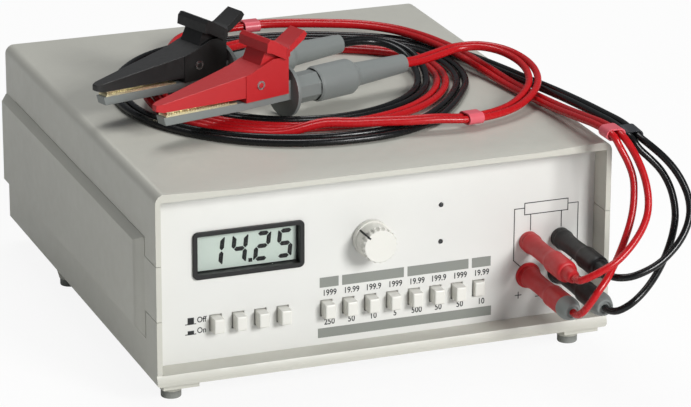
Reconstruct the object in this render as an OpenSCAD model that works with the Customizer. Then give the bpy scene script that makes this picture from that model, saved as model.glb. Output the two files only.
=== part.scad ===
// Bench micro ohmmeter with two four-wire test clips and their leads, in millimetres.
// The origin is on the surface that the instrument stands on, below the middle of the case.
// X runs to the right seen from the front, Y to the back and Z up.

/* [Case] */
// Width of the case over its side walls
case_w = 220; // [216:1:232]
// Depth of the case from the front rim to the rear rim
case_d = 242; // [238:1:270]
// Height of the case without its feet
case_h = 91; // [88:1:104]
// Height of the whole foot under the case
foot_h = 12; // [10:0.5:16]
// Thickness of the shells' walls
wall = 2.5; // [2.3:0.1:3]
// Radius of the long top edges
edge_r = 4.5; // [3:0.5:5]
// Depth of the recess in front of the front panel
recess = 13; // [8:0.5:13]
// Thickness of the front and rear panels
panel_t = 3; // [2:0.5:3.5]
// Distance that the raised side plates stand proud of the case
plate_proud = 3.4; // [2:0.2:5]

/* [Display] */
// Width of the display's black frame
display_w = 53; // [48:1:56]
// Height of the display's black frame
display_h = 22.5; // [20:0.5:26]
// Depth of the window behind the frame's face
display_sunk = 2.6; // [1.5:0.1:3]

/* [Controls] */
// Distance from one button to the next
button_pitch = 10.7; // [10:0.1:11]
// Width of a button cap
button_w = 5; // [4:0.1:6]
// Height of a button cap
button_h = 7; // [5:0.1:8]
// Distance that a released button stands out of the panel
button_out = 6; // [4:0.5:8]
// Travel of a button when it is pressed
button_travel = 3.5; // [2:0.5:4]
// Diameter of the zero knob at its skirt
knob_d = 17.5; // [15:0.5:20]
// Distance that the zero knob stands out of the panel
knob_out = 13; // [11:0.5:13]

/* [Sockets and plugs] */
// Sideways distance between the red and the black sockets
socket_dx = 16; // [15:0.5:18]
// Upright distance between the sense and the force sockets
socket_dz = 16.7; // [15:0.1:19]
// Diameter of a socket's collar and of a plug's front collar
socket_d = 9.8; // [9:0.1:11]
// Length of a plug in front of the panel
plug_l = 51; // [49:0.5:52]

/* [Leads] */
// Diameter of a lead
lead_d = 3.4; // [2.8:0.1:3.5]

/* [Clips] */
// Length of a clip from the lower jaw's tip to the end of its boot
clip_l = 142.7; // [138:0.1:142.7]
// Radius of the round finger guard
guard_r = 13; // [12:0.5:13]
// Diameter of the boot's thick part
boot_d = 17; // [16.5:0.5:20]

/* [Hidden] */

// Smoothness of round faces
$fn = 48;
// Overrun of every cut past the face that it opens
cut_over = 1;
// Gap between pieces that lie side by side
fit_gap = 0.3;
// Radial gap of a turning shaft in its bearing
run_gap = 0.05;

// Colours
case_grey = "#b9b9ae";
panel_white = "#ececea";
ink_black = "#1c1c1e";
soft_grey = "#878c8a";
lead_red = "#c82828";
pale_red = "#d8606a";
gold = "#e1c882";
steel = "#b8bcc0";
board_green = "#2f6b45";

// Case levels and faces
case_x = case_w / 2;
case_y = case_d / 2;
floor_z = foot_h;
top_z = foot_h + case_h;
inner_x = case_x - wall;
panel_front_y = -case_y + recess;
panel_back_y = panel_front_y + panel_t;
// Height of the bottom rim in front of the panel
rim_low_h = 5;
// Height of the top rim in front of the panel
rim_high_h = 4;
opening_low_z = floor_z + rim_low_h;
opening_high_z = top_z - rim_high_h;
// Depth of the slot in the shells that the panels stand in
panel_lip = 1.1;
// Gap left round the panel's edge in its slot
panel_slack = 0.1;
// Radius of the long bottom edges
bottom_edge_r = 1.5;
// Depth of the shells' front and rear end frames behind their faces
end_frame_d = recess + panel_t;
ear_y = -case_y + end_frame_d;

// Seams between the shells and the side panels, as shares of the case height
seam_low_share = 0.198;
ear_low_share = 0.341;
ear_high_share = 0.632;
seam_high_share = 0.731;
seam_low_z = floor_z + case_h * seam_low_share;
ear_low_z = floor_z + case_h * ear_low_share;
ear_high_z = floor_z + case_h * ear_high_share;
seam_high_z = floor_z + case_h * seam_high_share;
// Open seam in front of a side plate
seam_gap = 0.8;

// Sloped brow over the front panel
brow_d = 14;
brow_drop = 1.5;
brow_side = 38;
brow_turn = atan(brow_d / brow_side);
brow_tilt = atan(brow_drop / (brow_d * cos(brow_turn)));

// Bevels of a side plate's top, bottom, front and rear edges
plate_bevel_top = 3.1;
plate_bevel_bottom = 4;
plate_bevel_front = 6.4;
plate_bevel_rear = 3.4;
plate_corner_r = 2;

// Feet: a tapered pad of the bottom shell with a rubber foot under it
foot_pad_d = 15;
foot_neck_d = 10;
foot_rubber_d = 9.4;
foot_rubber_h = 3.6;
foot_plinth_h = 2.8;
foot_plinth_w = 17;
front_foot_side = 12;
rear_foot_side = 10;
front_foot_inset = 18;
rear_foot_inset = 71;
plinth_reach = 66;
front_foot_x = case_x - front_foot_side;
rear_foot_x = case_x - rear_foot_side;
front_foot_y = -case_y + front_foot_inset;
rear_foot_y = case_y - rear_foot_inset;
plinth_end_y = -case_y + plinth_reach;

// Posts and screws
post_d = 8;
screw_d = 3;
screw_head_d = 5.6;
screw_head_h = 2;
screw_post_side = 12;
screw_post_front_inset = 51;
screw_post_rear_inset = 23;
screw_post_x = case_x - screw_post_side;
screw_post_front_y = -case_y + screw_post_front_inset;
screw_post_rear_y = case_y - screw_post_rear_inset;
screw_tip_depth = 12;
board_screw_l = 6;
board_post_d = 6;

// Boards
board_t = 1.6;
board_left_gap = 16.5;
board_right_gap = 40;
board_front_gap = 22;
board_rear_gap = 59;
board_lift = 8;
main_board_x0 = -case_x + board_left_gap;
main_board_x1 = case_x - board_right_gap;
main_board_y0 = -case_y + board_front_gap;
main_board_y1 = case_y - board_rear_gap;
main_board_z = floor_z + board_lift;
board_post_inset = 5;
display_board_left_gap = 12;
display_board_right_gap = 65;
display_board_depth = 11;
display_board_low_share = 0.3736;
display_board_high_share = 0.8791;
display_board_x0 = -case_x + display_board_left_gap;
display_board_x1 = case_x - display_board_right_gap;
display_board_y = panel_back_y + display_board_depth;
display_board_z0 = floor_z + case_h * display_board_low_share;
display_board_z1 = floor_z + case_h * display_board_high_share;
spacer_d = 6;

// Display
display_shift = 15.8;
display_z_share = 0.60934;
display_z = floor_z + case_h * display_z_share;
display_proud = 1.2;
display_corner_r = 2.5;
display_border = 2.2;
window_t = 1.2;
lcd_t = 2.8;
frame_flange = 1.5;

// Indicator lamps
led_d = 2;
led_flange_d = 3.4;
led_out = 0.6;
led_shift = 55.8;
led_z_shares = [0.7187, 0.5231];
led_z = [for (share = led_z_shares) floor_z + case_h * share];

// Buttons and their switch banks
button_gap = 0.45;
function_count = 4;
range_count = 8;
button_z_share = 0.24725;
button_z = floor_z + case_h * button_z_share;
stem_w = 3;
cap_inside = 6;
bank_gap = 0.6;
button_cap_l = button_out + panel_t + cap_inside;
bank_y0 = panel_back_y + cap_inside + button_travel + bank_gap;
bank_d = 22;
bank_h = 20;
bank_side = 3.2;
stem_l = bank_d;
cap_edge = 0.5;
// The width that the rows of buttons and sockets leave free is shared out left of the function row,
// between the rows, and between the range row and the sockets
function_run = (function_count - 1) * button_pitch;
range_run = (range_count - 1) * button_pitch;
free_w = case_w - function_run - range_run - socket_dx;
left_share = 0.32887;
middle_share = 0.21752;
right_share = 0.2567;
function_x = -case_x + free_w * left_share;
range_x = function_x + function_run + free_w * middle_share;
display_x = function_x + display_shift;
led_x = range_x + led_shift;

// Zero knob and potentiometer
knob_shift = 21.3;
knob_z_share = 0.5923;
knob_x = range_x + knob_shift;
knob_z = floor_z + case_h * knob_z_share;
knob_lift = 0.4;
knob_skirt_h = 2.6;
knob_taper = 1.7;
knob_face_d = knob_d - knob_taper;
knob_flutes = 20;
flute_d = 1.6;
flute_l = 4;
knob_recess_d = 13;
knob_recess_h = 4;
shaft_d = 6;
shaft_end = 3;
bush_d = 9;
bush_out = 3.4;
nut_d = 12;
nut_h = 2;
pot_d = 17;
pointer_w = 1;
pointer_depth = 0.3;
pointer_angle = 50;

// Sockets
socket_x = range_x + range_run + free_w * right_share;
socket_z_share = 0.46374;
socket_z = floor_z + case_h * socket_z_share;
collar_out = 3;
flange_lip = 2.6;
flange_d = socket_d + flange_lip;
flange_out = 0.8;
socket_body_d = 8.4;
socket_body_l = 24;
socket_nut_d = 12;
socket_nut_h = 2.4;

// Plugs: shares of the plug's length from the collar to the lead
plug_x = [socket_x, socket_x + socket_dx];
plug_z = [socket_z, socket_z - socket_dz];
plug_end_y = panel_front_y - plug_l;
plug_waist_d = 8.6;
plug_grip_d = 10.4;
plug_tip_d = 7;
plug_waist_share = 0.12;
plug_grip_share = 0.52;
plug_tail_share = 0.84;
ring_d = 10.8;
ring_end_d = 8.6;
pin_d = 4;
pin_l = 19;
pin_inside = 8;

// Battery
cell_d = 30;
cell_l = 58;
cell_gap = 0.4;
tray_wall = 1.5;
tray_h = 12;
battery_inset = 37;
battery_y = case_y - battery_inset;
// As many cells as fit between the rear posts
cell_count = floor((2 * screw_post_x - post_d - 2 * tray_wall - 2 * cell_gap) / (cell_l + cell_gap));

// Charger socket in the rear panel
charger_side = 40;
charger_z_share = 0.57143;
charger_x = case_x - charger_side;
charger_z = floor_z + case_h * charger_z_share;
charger_d = 11;
charger_bore_d = 5.6;
charger_pin_d = 2;
charger_l = 14;
charger_flange_d = 14;
charger_flange_t = 1.5;

// Leads. A pair's two strands lie side by side.
lead_r = lead_d / 2;
strand_half = 2.1;
lead_lift = 2;
layer_h = 4.2;
coil_pitch = 9.4;
coil_x = 4;
coil_y = 6;
coil_a = 61;
coil_b = 57;
coil_turn = 30;
coil_step = 15;
coil_sides = 6;
drop_sides = 8;

// Each row of a winding holds the turned angle, then shares: the pitches outwards, the layers up, and
// the spread of the pair's two strands
black_winding_shares = [
    [50, 0, 0, 1], [252, 0, 0, 1], [300, 1, 0, 1], [330, 1, 0, 1], [370, 2, 0, 1], [425, 2, 0, 1],
    [470, 3, 0, 1.8], [500, 3, 0, 1.9], [545, 3, 0, 1.1], [622, 3, 0, 1], [662, 2, 0, 1], [680, 2, 0, 1]
];
red_winding_shares = [
    [130, 1.8, 1, 1], [148, 1.9, 0, 1], [192, 1.9, 0, 1], [204, 1.9, 1, 1], [238, 0, 1, 1],
    [298, 0, 1, 1], [314, 0, 0, 1], [338, 0, 0, 1], [374, 1, 0, 1], [470, 0.95, 0, 1],
    [598, 1, 0, 1], [610, 1.1, 1, 1], [642, 3, 1, 1], [668, 3, 1, 1]
];
// Free stretches of the pairs before and after their windings: X, Y and the height above the case
black_lead_in = [
    [42, 31, 12], [51, 31.5, 11], [59, 28, 9.5], [64, 20, 7.5], [65, 11, 5.5], [64, 1, 3.5]
];
red_lead_in = [
    [59, -9.5, 12], [70, -5, 12.5], [82, 0, 13], [93, -2, 13.5], [101, -9, 13], [105.5, -22, 12],
    [105.5, -37, 10.5], [101, -51, 8.5], [92, -63, 6.5], [81, -72, 5], [67, -78, 4.5], [53, -81, 5.2],
    [40, -80, 6.2], [27, -78, 6.2], [14, -75, 6.2], [1, -72, 6.2]
];
black_lead_out = [
    [56, 68, 2], [69, 60, 2], [81, 47, 2], [91, 31, 2], [98, 12, 2], [103, -8, 2.2], [106, -30, 3.2],
    [109, -54, 4.6], [111, -78, 6], [112.5, -100, 7], [113.8, -120, 7.5], [114.2, -136.5, 6]
];
red_lead_out = [
    [53, 79, 6.2], [64, 72, 6.2], [74, 61, 6.2], [81, 47, 6.2], [86, 30, 6.2], [90, 11, 5.8],
    [94, -9, 4], [97, -31, 2.6], [99.5, -55, 3], [101.5, -80, 4.5], [102.5, -103, 7], [103.5, -123, 9],
    [104.3, -139, 8.6]
];
// Free drops from the pairs' ends to the plugs: X, Y and Z
red_sense_route = [
    [108.2, -143.5, 108], [110, -147.5, 103], [111.2, -151.5, 97.5], [111.6, -155, 92],
    [111.2, -158, 86.5], [109.5, -161, 81], [106, -164, 76], [101.5, -166.5, 71.5], [96.5, -168.5, 67.5],
    [90.5, -170, 63.5], [84.5, -170, 60.5], [79, -168.5, 57.5], [75.6, -165.5, 55]
];
red_force_route = [
    [104.8, -141.5, 106], [107.2, -144.5, 100], [108.3, -147.5, 94], [107.8, -150, 87.5],
    [106.3, -152.5, 81], [103.8, -155, 75], [100.3, -158, 69.5], [96.2, -161.5, 64.5], [91.5, -165.5, 60],
    [86.3, -169, 55], [81, -171, 50], [77.2, -170.5, 44.5], [75.2, -167, 39.6]
];
black_sense_route = [
    [119, -142, 106.5], [123, -147, 102.5], [126.8, -151, 97.5], [129.5, -154.5, 92], [131, -158, 86],
    [130.5, -161.5, 80], [127.8, -164.5, 74], [123.3, -167, 68.5], [117.5, -169, 63.8], [111, -170.5, 60],
    [104, -171, 57.3], [97.8, -170, 55.4], [93, -166.5, 54.4]
];
black_force_route = [
    [114.8, -139.5, 104.6], [119.3, -142, 100], [123.5, -144.5, 95], [126.3, -147.5, 89],
    [127.5, -150.5, 82.5], [127.2, -153.5, 75.5], [124.8, -156.5, 68.5], [120.8, -160, 62],
    [115.8, -163.5, 56], [110, -167, 50.8], [103.5, -170, 46.3], [97.5, -171, 42.5], [93, -168, 39]
];

// Sleeves: the leg of the route that carries each one, and the share of the leg at its middle
sleeve_l = 8;
sleeve_t = 0.7;
sleeve_gap = 0.35;
red_sleeve_legs = [12, 53, 66];
red_sleeve_shares = [0.7, 0.6, 0.62];
black_sleeve_leg = 61;
black_sleeve_share = 0.65;

// Clips: tip places, turns, and the height of the axis above the case
red_clip_x = -86.3;
red_clip_y = -55.6;
red_clip_turn = 17.6;
black_clip_x = -102.8;
black_clip_y = -16.8;
black_clip_turn = 18.5;
guard_lift = 0.1;
clip_z = top_z + guard_r + guard_lift;
// Places along the clip from the tip and heights over its axis
pivot_s = 51;
pivot_h = 8;
pivot_d = 3.2;
pivot_head_d = 4.4;
pivot_head_t = 0.4;
jaw_tip_half = 3;
jaw_root_half = 6.9;
cheek_half = 8.8;
cheek_inner_half = 7.2;
cheek_s = 42.7;
cheek_end_s = 67.2;
lug_r = 6;
lug_clear = 1;
lower_jaw_top_h = 0.6;
lower_jaw_tip_h = 3.4;
lower_jaw_root_h = 3.2;
jaw_nose = 3;
// Step from the upper jaw out to its cheeks
cheek_step = 0.4;
// Upper outline of the upper jaw over its cheeks, then of the thumb saddle and of the neck under it, as
// shares of the distance from the jaw's tip to the pivot
jaw_top_shares = [[1.14, 0.374], [0.88, 0.278], [-0.01, 0.139], [-0.055, 0.13], [-0.065, 0.1]];
thumb_outline_shares = [
    [1.1, 0.445], [1.27, 0.352], [1.35, 0.372], [1.4, 0.39], [1.55, 0.478], [1.58, 0.52], [1.55, 0.557],
    [1.39, 0.45], [1.335, 0.43], [1.11, 0.568], [1.08, 0.575], [1.05, 0.545], [1.04, 0.46]
];
thumb_neck_shares = [[1.02, 0.33], [1.27, 0.318], [1.35, 0.372], [1.33, 0.41], [1.1, 0.5]];
// The thumb saddle seen from above: place along the clip, then half its width
thumb_plan_shares = [[1, 0.215], [1.27, 0.205], [1.34, 0.165], [1.37, 0.115], [1.65, 0.1]];
guard_s = 69.8;
guard_t = 2;
neck_r = 7.4;
neck_h = -0.9;
neck_end_s = 97;
neck_sides = 8;
boot_s = 88;
boot_step_s = 110;
boot_taper_d = 11.4;
boot_end_d = 9;
boot_end_s = clip_l;
boot_bore_d = 15.2;
boot_bore_end_s = 99;
tooth_pitch = 1.4;
tooth_h = 0.9;
tooth_count = 24;
contact_t = 0.7;
contact_half = 2.6;
contact_s0 = 1.5;
contact_gap = 0.25;
upper_line_h = lower_jaw_top_h + contact_t + tooth_h + contact_gap + contact_t;

// Box between two corners
module block(low, high) {
    translate(low) cube(high - low);
}

// Outline with round corners and its low corner at the origin
module round_rect(w, h, r) {
    translate([r, 0]) square([w - 2 * r, h]);
    translate([0, r]) square([w, h - 2 * r]);
    for (x = [r, w - r], y = [r, h - r]) translate([x, y]) circle(r = r);
}

// Turns an outline in X and Z into a body that runs along Y
module along_y(y0, y1) {
    translate([0, y1, 0]) rotate([90, 0, 0]) linear_extrude(y1 - y0) children();
}

// Turns an outline in Y and Z into a body that runs along X
module along_x(x0, x1) {
    translate([x0, 0, 0]) rotate([90, 0, 90]) linear_extrude(x1 - x0) children();
}

// Full outline of the case seen from the front: wide round edges above, small ones below
module case_outline() {
    mid = case_h / 2;
    translate([-case_x, floor_z + mid]) {
        translate([edge_r, 0]) square([case_w - 2 * edge_r, mid]);
        square([case_w, mid - edge_r]);
        for (x = [edge_r, case_w - edge_r]) translate([x, mid - edge_r]) circle(r = edge_r);
    }
    translate([-case_x, floor_z]) {
        translate([bottom_edge_r, 0]) square([case_w - 2 * bottom_edge_r, mid]);
        translate([0, bottom_edge_r]) square([case_w, mid - bottom_edge_r]);
        for (x = [bottom_edge_r, case_w - bottom_edge_r]) {
            translate([x, bottom_edge_r]) circle(r = bottom_edge_r);
        }
    }
}

// Everything that is hollow inside the case: the room, the two openings and the panels' slots
module case_hollow() {
    frame_y = case_y - end_frame_d;
    block([-inner_x, -frame_y, floor_z + wall], [inner_x, frame_y, top_z - wall]);
    block([-inner_x, -case_y - cut_over, opening_low_z], [inner_x, case_y + cut_over, opening_high_z]);
    for (y = [panel_front_y, -panel_back_y]) {
        block(
            [-inner_x - panel_lip - panel_slack, y - panel_slack, opening_low_z - panel_lip - panel_slack],
            [inner_x + panel_lip + panel_slack, y + panel_t + panel_slack,
                opening_high_z + panel_lip + panel_slack]
        );
    }
}

// Room above the three planes of the brow
module brow_cut() {
    intersection() {
        translate([-case_w, -case_y - brow_d, top_z]) brow_plane(case_w * 2, atan(brow_drop / brow_d));
        brow_side_cut();
        mirror([1, 0, 0]) brow_side_cut();
    }
}

module brow_side_cut() {
    translate([case_x, -case_y, top_z]) rotate([0, 0, -brow_turn]) rotate([brow_tilt, 0, 0])
        translate([-case_w * 2, -case_w, 0]) cube([case_w * 3, case_w, case_h]);
}

module brow_plane(width, tilt) {
    translate([0, 2 * brow_d, 0]) rotate([tilt, 0, 0]) translate([0, -case_w, 0])
        cube([width, case_w, case_h]);
}

// Places of the four screws that hold the shells together
module at_screw_posts() {
    for (x = [-screw_post_x, screw_post_x], y = [screw_post_front_y, screw_post_rear_y]) {
        translate([x, y, 0]) children();
    }
}

// Places of the main board's four screws
module at_board_posts() {
    for (x = [main_board_x0 + board_post_inset, main_board_x1 - board_post_inset],
        y = [main_board_y0 + board_post_inset, main_board_y1 - board_post_inset]) {
        translate([x, y, 0]) children();
    }
}

module at_feet() {
    for (side = [-1, 1]) {
        translate([side * front_foot_x, front_foot_y, 0]) children();
        translate([side * rear_foot_x, rear_foot_y, 0]) children();
    }
}

module foot_pad() {
    pad_h = floor_z - foot_rubber_h;
    translate([0, 0, foot_rubber_h]) cylinder(h = pad_h + fit_gap, d1 = foot_neck_d, d2 = foot_pad_d);
}

module bottom_case() {
    color(case_grey) difference() {
        union() {
            difference() {
                intersection() {
                    along_y(-case_y, case_y) case_outline();
                    union() {
                        block([-case_x, -case_y, floor_z], [case_x, case_y, seam_low_z]);
                        for (y = [-case_y, case_y - end_frame_d]) {
                            block([-case_x, y, floor_z], [case_x, y + end_frame_d, ear_low_z]);
                        }
                    }
                }
                case_hollow();
                front_lip_cut();
            }
            at_feet() foot_pad();
            for (side = [-1, 1]) {
                plinth_x = side * front_foot_x;
                block(
                    [plinth_x - foot_plinth_w / 2, -case_y + wall, floor_z - foot_plinth_h],
                    [plinth_x + foot_plinth_w / 2, plinth_end_y, floor_z + fit_gap]
                );
            }
            at_screw_posts() translate([0, 0, floor_z]) cylinder(h = seam_low_z - floor_z, d = post_d);
            at_board_posts() translate([0, 0, floor_z])
                cylinder(h = main_board_z - floor_z, d = board_post_d);
        }
        at_screw_posts() {
            translate([0, 0, -cut_over]) cylinder(h = seam_low_z + 2 * cut_over, r = screw_d / 2 + fit_gap);
            translate([0, 0, -cut_over])
                cylinder(h = floor_z + screw_head_h + cut_over, r = screw_head_d / 2 + fit_gap);
        }
        at_board_posts() translate([0, 0, main_board_z - board_screw_l])
            cylinder(h = board_screw_l + cut_over, r = screw_d / 2 + run_gap);
    }
}

// The bottom rim's upper band leans back a little
module front_lip_cut() {
    lean_z = floor_z + rim_low_h / 2;
    lean = rim_low_h / 5;
    along_x(-case_x - cut_over, case_x + cut_over) polygon([
        [-case_y - cut_over, lean_z], [-case_y, lean_z], [-case_y + lean, opening_low_z],
        [-case_y + lean, opening_low_z + cut_over], [-case_y - cut_over, opening_low_z + cut_over]
    ]);
}

module top_case() {
    color(case_grey) difference() {
        union() {
            difference() {
                intersection() {
                    along_y(-case_y, case_y) case_outline();
                    union() {
                        block([-case_x, -case_y, seam_high_z], [case_x, case_y, top_z]);
                        for (y = [-case_y, case_y - end_frame_d]) {
                            block([-case_x, y, ear_high_z], [case_x, y + end_frame_d, top_z]);
                        }
                    }
                }
                case_hollow();
            }
            at_screw_posts() translate([0, 0, seam_low_z])
                cylinder(h = top_z - wall / 2 - seam_low_z, d = post_d);
        }
        brow_cut();
        at_screw_posts() translate([0, 0, seam_low_z - cut_over])
            cylinder(h = screw_tip_depth + 2 * cut_over, r = screw_d / 2 + run_gap);
    }
}

// A side panel: the wall between the shells, its raised plate, and a tongue at each end
module side_panel() {
    plate_y0 = ear_y + seam_gap;
    plate_y1 = case_y - end_frame_d - seam_gap;
    z0 = seam_low_z + fit_gap;
    z1 = seam_high_z - fit_gap;
    difference() {
        union() {
            block([inner_x, plate_y0, z0], [case_x, plate_y1, z1]);
            block([inner_x, -case_y, ear_low_z + fit_gap], [case_x, case_y, ear_high_z - fit_gap]);
            intersection() {
                along_y(plate_y0, case_y) polygon([
                    [case_x - wall / 2, z0], [case_x, z0], [case_x + plate_proud, z0 + plate_bevel_bottom],
                    [case_x + plate_proud, z1 - plate_bevel_top], [case_x, z1], [case_x - wall / 2, z1]
                ]);
                translate([0, 0, z0]) linear_extrude(z1 - z0) polygon([
                    [case_x - wall / 2, plate_y0], [case_x, plate_y0],
                    [case_x + plate_proud, plate_y0 + plate_bevel_front],
                    [case_x + plate_proud, case_y - plate_bevel_rear], [case_x, case_y],
                    [case_x - wall / 2, case_y]
                ]);
                translate([case_x, 0, 0]) along_x(-wall, plate_proud + cut_over)
                    translate([plate_y0, z0]) round_rect(case_y - plate_y0, z1 - z0, plate_corner_r);
            }
        }
        case_hollow();
        block([0, case_y - end_frame_d - fit_gap, 0], [case_x, case_y + cut_over, ear_low_z + fit_gap]);
        block([0, case_y - end_frame_d - fit_gap, ear_high_z - fit_gap], [case_x, case_y + cut_over, top_z]);
    }
}

module left_side_panel() {
    color(case_grey) mirror([1, 0, 0]) side_panel();
}

module right_side_panel() {
    color(case_grey) side_panel();
}

// The flat plate that both panels are cut from
module panel_plate(y0) {
    block(
        [-inner_x - panel_lip, y0, opening_low_z - panel_lip],
        [inner_x + panel_lip, y0 + panel_t, opening_high_z + panel_lip]
    );
}

// A hole through the front panel
module panel_hole(x, z, d) {
    translate([x, panel_front_y - cut_over, z]) rotate([-90, 0, 0])
        cylinder(h = panel_t + 2 * cut_over, d = d);
}

function button_x(first, i) = first + i * button_pitch;

module button_hole(x) {
    half_w = button_w / 2 + button_gap;
    half_h = button_h / 2 + button_gap;
    block(
        [x - half_w, panel_front_y - cut_over, button_z - half_h],
        [x + half_w, panel_back_y + cut_over, button_z + half_h]
    );
}

// Places of the posts between the front panel and the display board
module at_spacers() {
    for (x = [display_board_x0 + board_post_inset, display_board_x1 - board_post_inset],
        z = [display_board_z0 + board_post_inset, display_board_z1 - board_post_inset]) {
        translate([x, 0, z]) children();
    }
}

module front_panel() {
    inner_w = display_w - 2 * frame_flange;
    inner_h = display_h - 2 * frame_flange;
    color(panel_white) difference() {
        union() {
            panel_plate(panel_front_y);
            at_spacers() translate([0, panel_back_y - fit_gap, 0]) rotate([-90, 0, 0])
                cylinder(h = display_board_y - panel_back_y + fit_gap, d = spacer_d);
        }
        along_y(panel_front_y - cut_over, panel_back_y + cut_over)
            translate([display_x - inner_w / 2 - fit_gap, display_z - inner_h / 2 - fit_gap])
                square([inner_w + 2 * fit_gap, inner_h + 2 * fit_gap]);
        for (z = led_z) panel_hole(led_x, z, led_d + fit_gap);
        panel_hole(knob_x, knob_z, bush_d + fit_gap);
        for (x = plug_x, z = plug_z) panel_hole(x, z, socket_body_d + fit_gap);
        for (i = [0 : function_count - 1]) button_hole(button_x(function_x, i));
        for (i = [0 : range_count - 1]) button_hole(button_x(range_x, i));
    }
}

module rear_panel() {
    color(panel_white) difference() {
        panel_plate(-panel_back_y);
        translate([charger_x, -panel_back_y - cut_over, charger_z]) rotate([-90, 0, 0])
            cylinder(h = panel_t + 2 * cut_over, d = charger_d + fit_gap);
    }
}

module rubber_feet() {
    color("#3c3e3a") at_feet() cylinder(h = foot_rubber_h, d = foot_rubber_d);
}

// A screw that points up from its head
module screw(l) {
    cylinder(h = screw_head_h, d = screw_head_d);
    translate([0, 0, screw_head_h / 2]) cylinder(h = l + screw_head_h / 2, d = screw_d);
}

module screws() {
    case_screw_l = seam_low_z - floor_z - screw_head_h + screw_tip_depth;
    color(steel) {
        at_screw_posts() translate([0, 0, floor_z]) screw(case_screw_l);
        at_board_posts() translate([0, 0, main_board_z + board_t + screw_head_h]) mirror([0, 0, 1])
            screw(board_t + board_screw_l - fit_gap);
    }
}

module display_frame() {
    inner_w = display_w - 2 * frame_flange;
    inner_h = display_h - 2 * frame_flange;
    glass_w = display_w - 2 * display_border;
    glass_h = display_h - 2 * display_border;
    face_y = panel_front_y - display_proud;
    color(ink_black) difference() {
        union() {
            along_y(face_y, panel_front_y) translate([display_x - display_w / 2, display_z - display_h / 2])
                round_rect(display_w, display_h, display_corner_r);
            block(
                [display_x - inner_w / 2, panel_front_y - display_proud / 2, display_z - inner_h / 2],
                [display_x + inner_w / 2, panel_back_y + lcd_t, display_z + inner_h / 2]
            );
        }
        along_y(face_y - cut_over, panel_back_y + lcd_t + cut_over)
            translate([display_x - glass_w / 2, display_z - glass_h / 2]) square([glass_w, glass_h]);
    }
}

module display_window() {
    glass_w = display_w - 2 * display_border;
    glass_h = display_h - 2 * display_border;
    y0 = panel_front_y - display_proud + display_sunk;
    color("#d9e4e0") block(
        [display_x - glass_w / 2, y0, display_z - glass_h / 2],
        [display_x + glass_w / 2, y0 + window_t, display_z + glass_h / 2]
    );
}

module lcd_module() {
    glass_w = display_w - 2 * display_border - 2 * cell_gap;
    glass_h = display_h - 2 * display_border - 2 * cell_gap;
    y0 = panel_front_y - display_proud + display_sunk + window_t + cell_gap;
    color("#c8d4c8") block(
        [display_x - glass_w / 2, y0, display_z - glass_h / 2],
        [display_x + glass_w / 2, display_board_y, display_z + glass_h / 2]
    );
}

module display_board() {
    color(board_green) block(
        [display_board_x0, display_board_y, display_board_z0],
        [display_board_x1, display_board_y + board_t, display_board_z1]
    );
}

module indicator_leds() {
    color(ink_black) for (z = led_z) translate([led_x, 0, z]) {
        translate([0, panel_front_y - led_out, 0]) rotate([-90, 0, 0])
            cylinder(h = led_out + panel_t + 2 * fit_gap, d = led_d);
        translate([0, panel_back_y + fit_gap, 0]) rotate([-90, 0, 0])
            cylinder(h = display_board_y - panel_back_y - fit_gap, d = led_flange_d);
    }
}

// A push button: its cap with softened front edges, and the stem that runs in the switch bank
module button(x, pressed) {
    y0 = panel_front_y - button_out + pressed * button_travel;
    half_w = button_w / 2;
    half_h = button_h / 2;
    color(panel_white) {
        intersection() {
            translate([0, 0, button_z - half_h]) linear_extrude(button_h) polygon([
                [x - half_w + cap_edge, y0], [x + half_w - cap_edge, y0], [x + half_w, y0 + cap_edge],
                [x + half_w, y0 + button_cap_l], [x - half_w, y0 + button_cap_l], [x - half_w, y0 + cap_edge]
            ]);
            along_x(x - half_w, x + half_w) polygon([
                [y0, button_z - half_h + cap_edge], [y0 + cap_edge, button_z - half_h],
                [y0 + button_cap_l, button_z - half_h], [y0 + button_cap_l, button_z + half_h],
                [y0 + cap_edge, button_z + half_h], [y0, button_z + half_h - cap_edge]
            ]);
        }
        block(
            [x - stem_w / 2, y0 + button_cap_l - fit_gap, button_z - stem_w / 2],
            [x + stem_w / 2, y0 + button_cap_l + stem_l, button_z + stem_w / 2]
        );
    }
}

module function_button(i) {
    button(button_x(function_x, i), 0);
}

module range_button(i) {
    button(button_x(range_x, i), i == range_count - 1 ? 1 : 0);
}

// A bank of switches: one long housing with a square runner for each stem
module switch_bank(first, count) {
    half_stem = stem_w / 2 + fit_gap;
    base_z = main_board_z + board_t;
    color("#e4e2d8") difference() {
        block(
            [button_x(first, 0) - stem_w - bank_side, bank_y0, base_z],
            [button_x(first, count - 1) + stem_w + bank_side, bank_y0 + bank_d, base_z + bank_h]
        );
        for (i = [0 : count - 1]) {
            x = button_x(first, i);
            block(
                [x - half_stem, bank_y0 - cut_over, button_z - half_stem],
                [x + half_stem, bank_y0 + bank_d + cut_over, button_z + half_stem]
            );
        }
    }
}

module function_switch_bank() {
    switch_bank(function_x, function_count);
}

module range_switch_bank() {
    switch_bank(range_x, range_count);
}

// Puts a body that rises along Z on the panel, pointing at the viewer
module at_knob(y) {
    translate([knob_x, y, knob_z]) rotate([90, 0, 0]) children();
}

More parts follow.
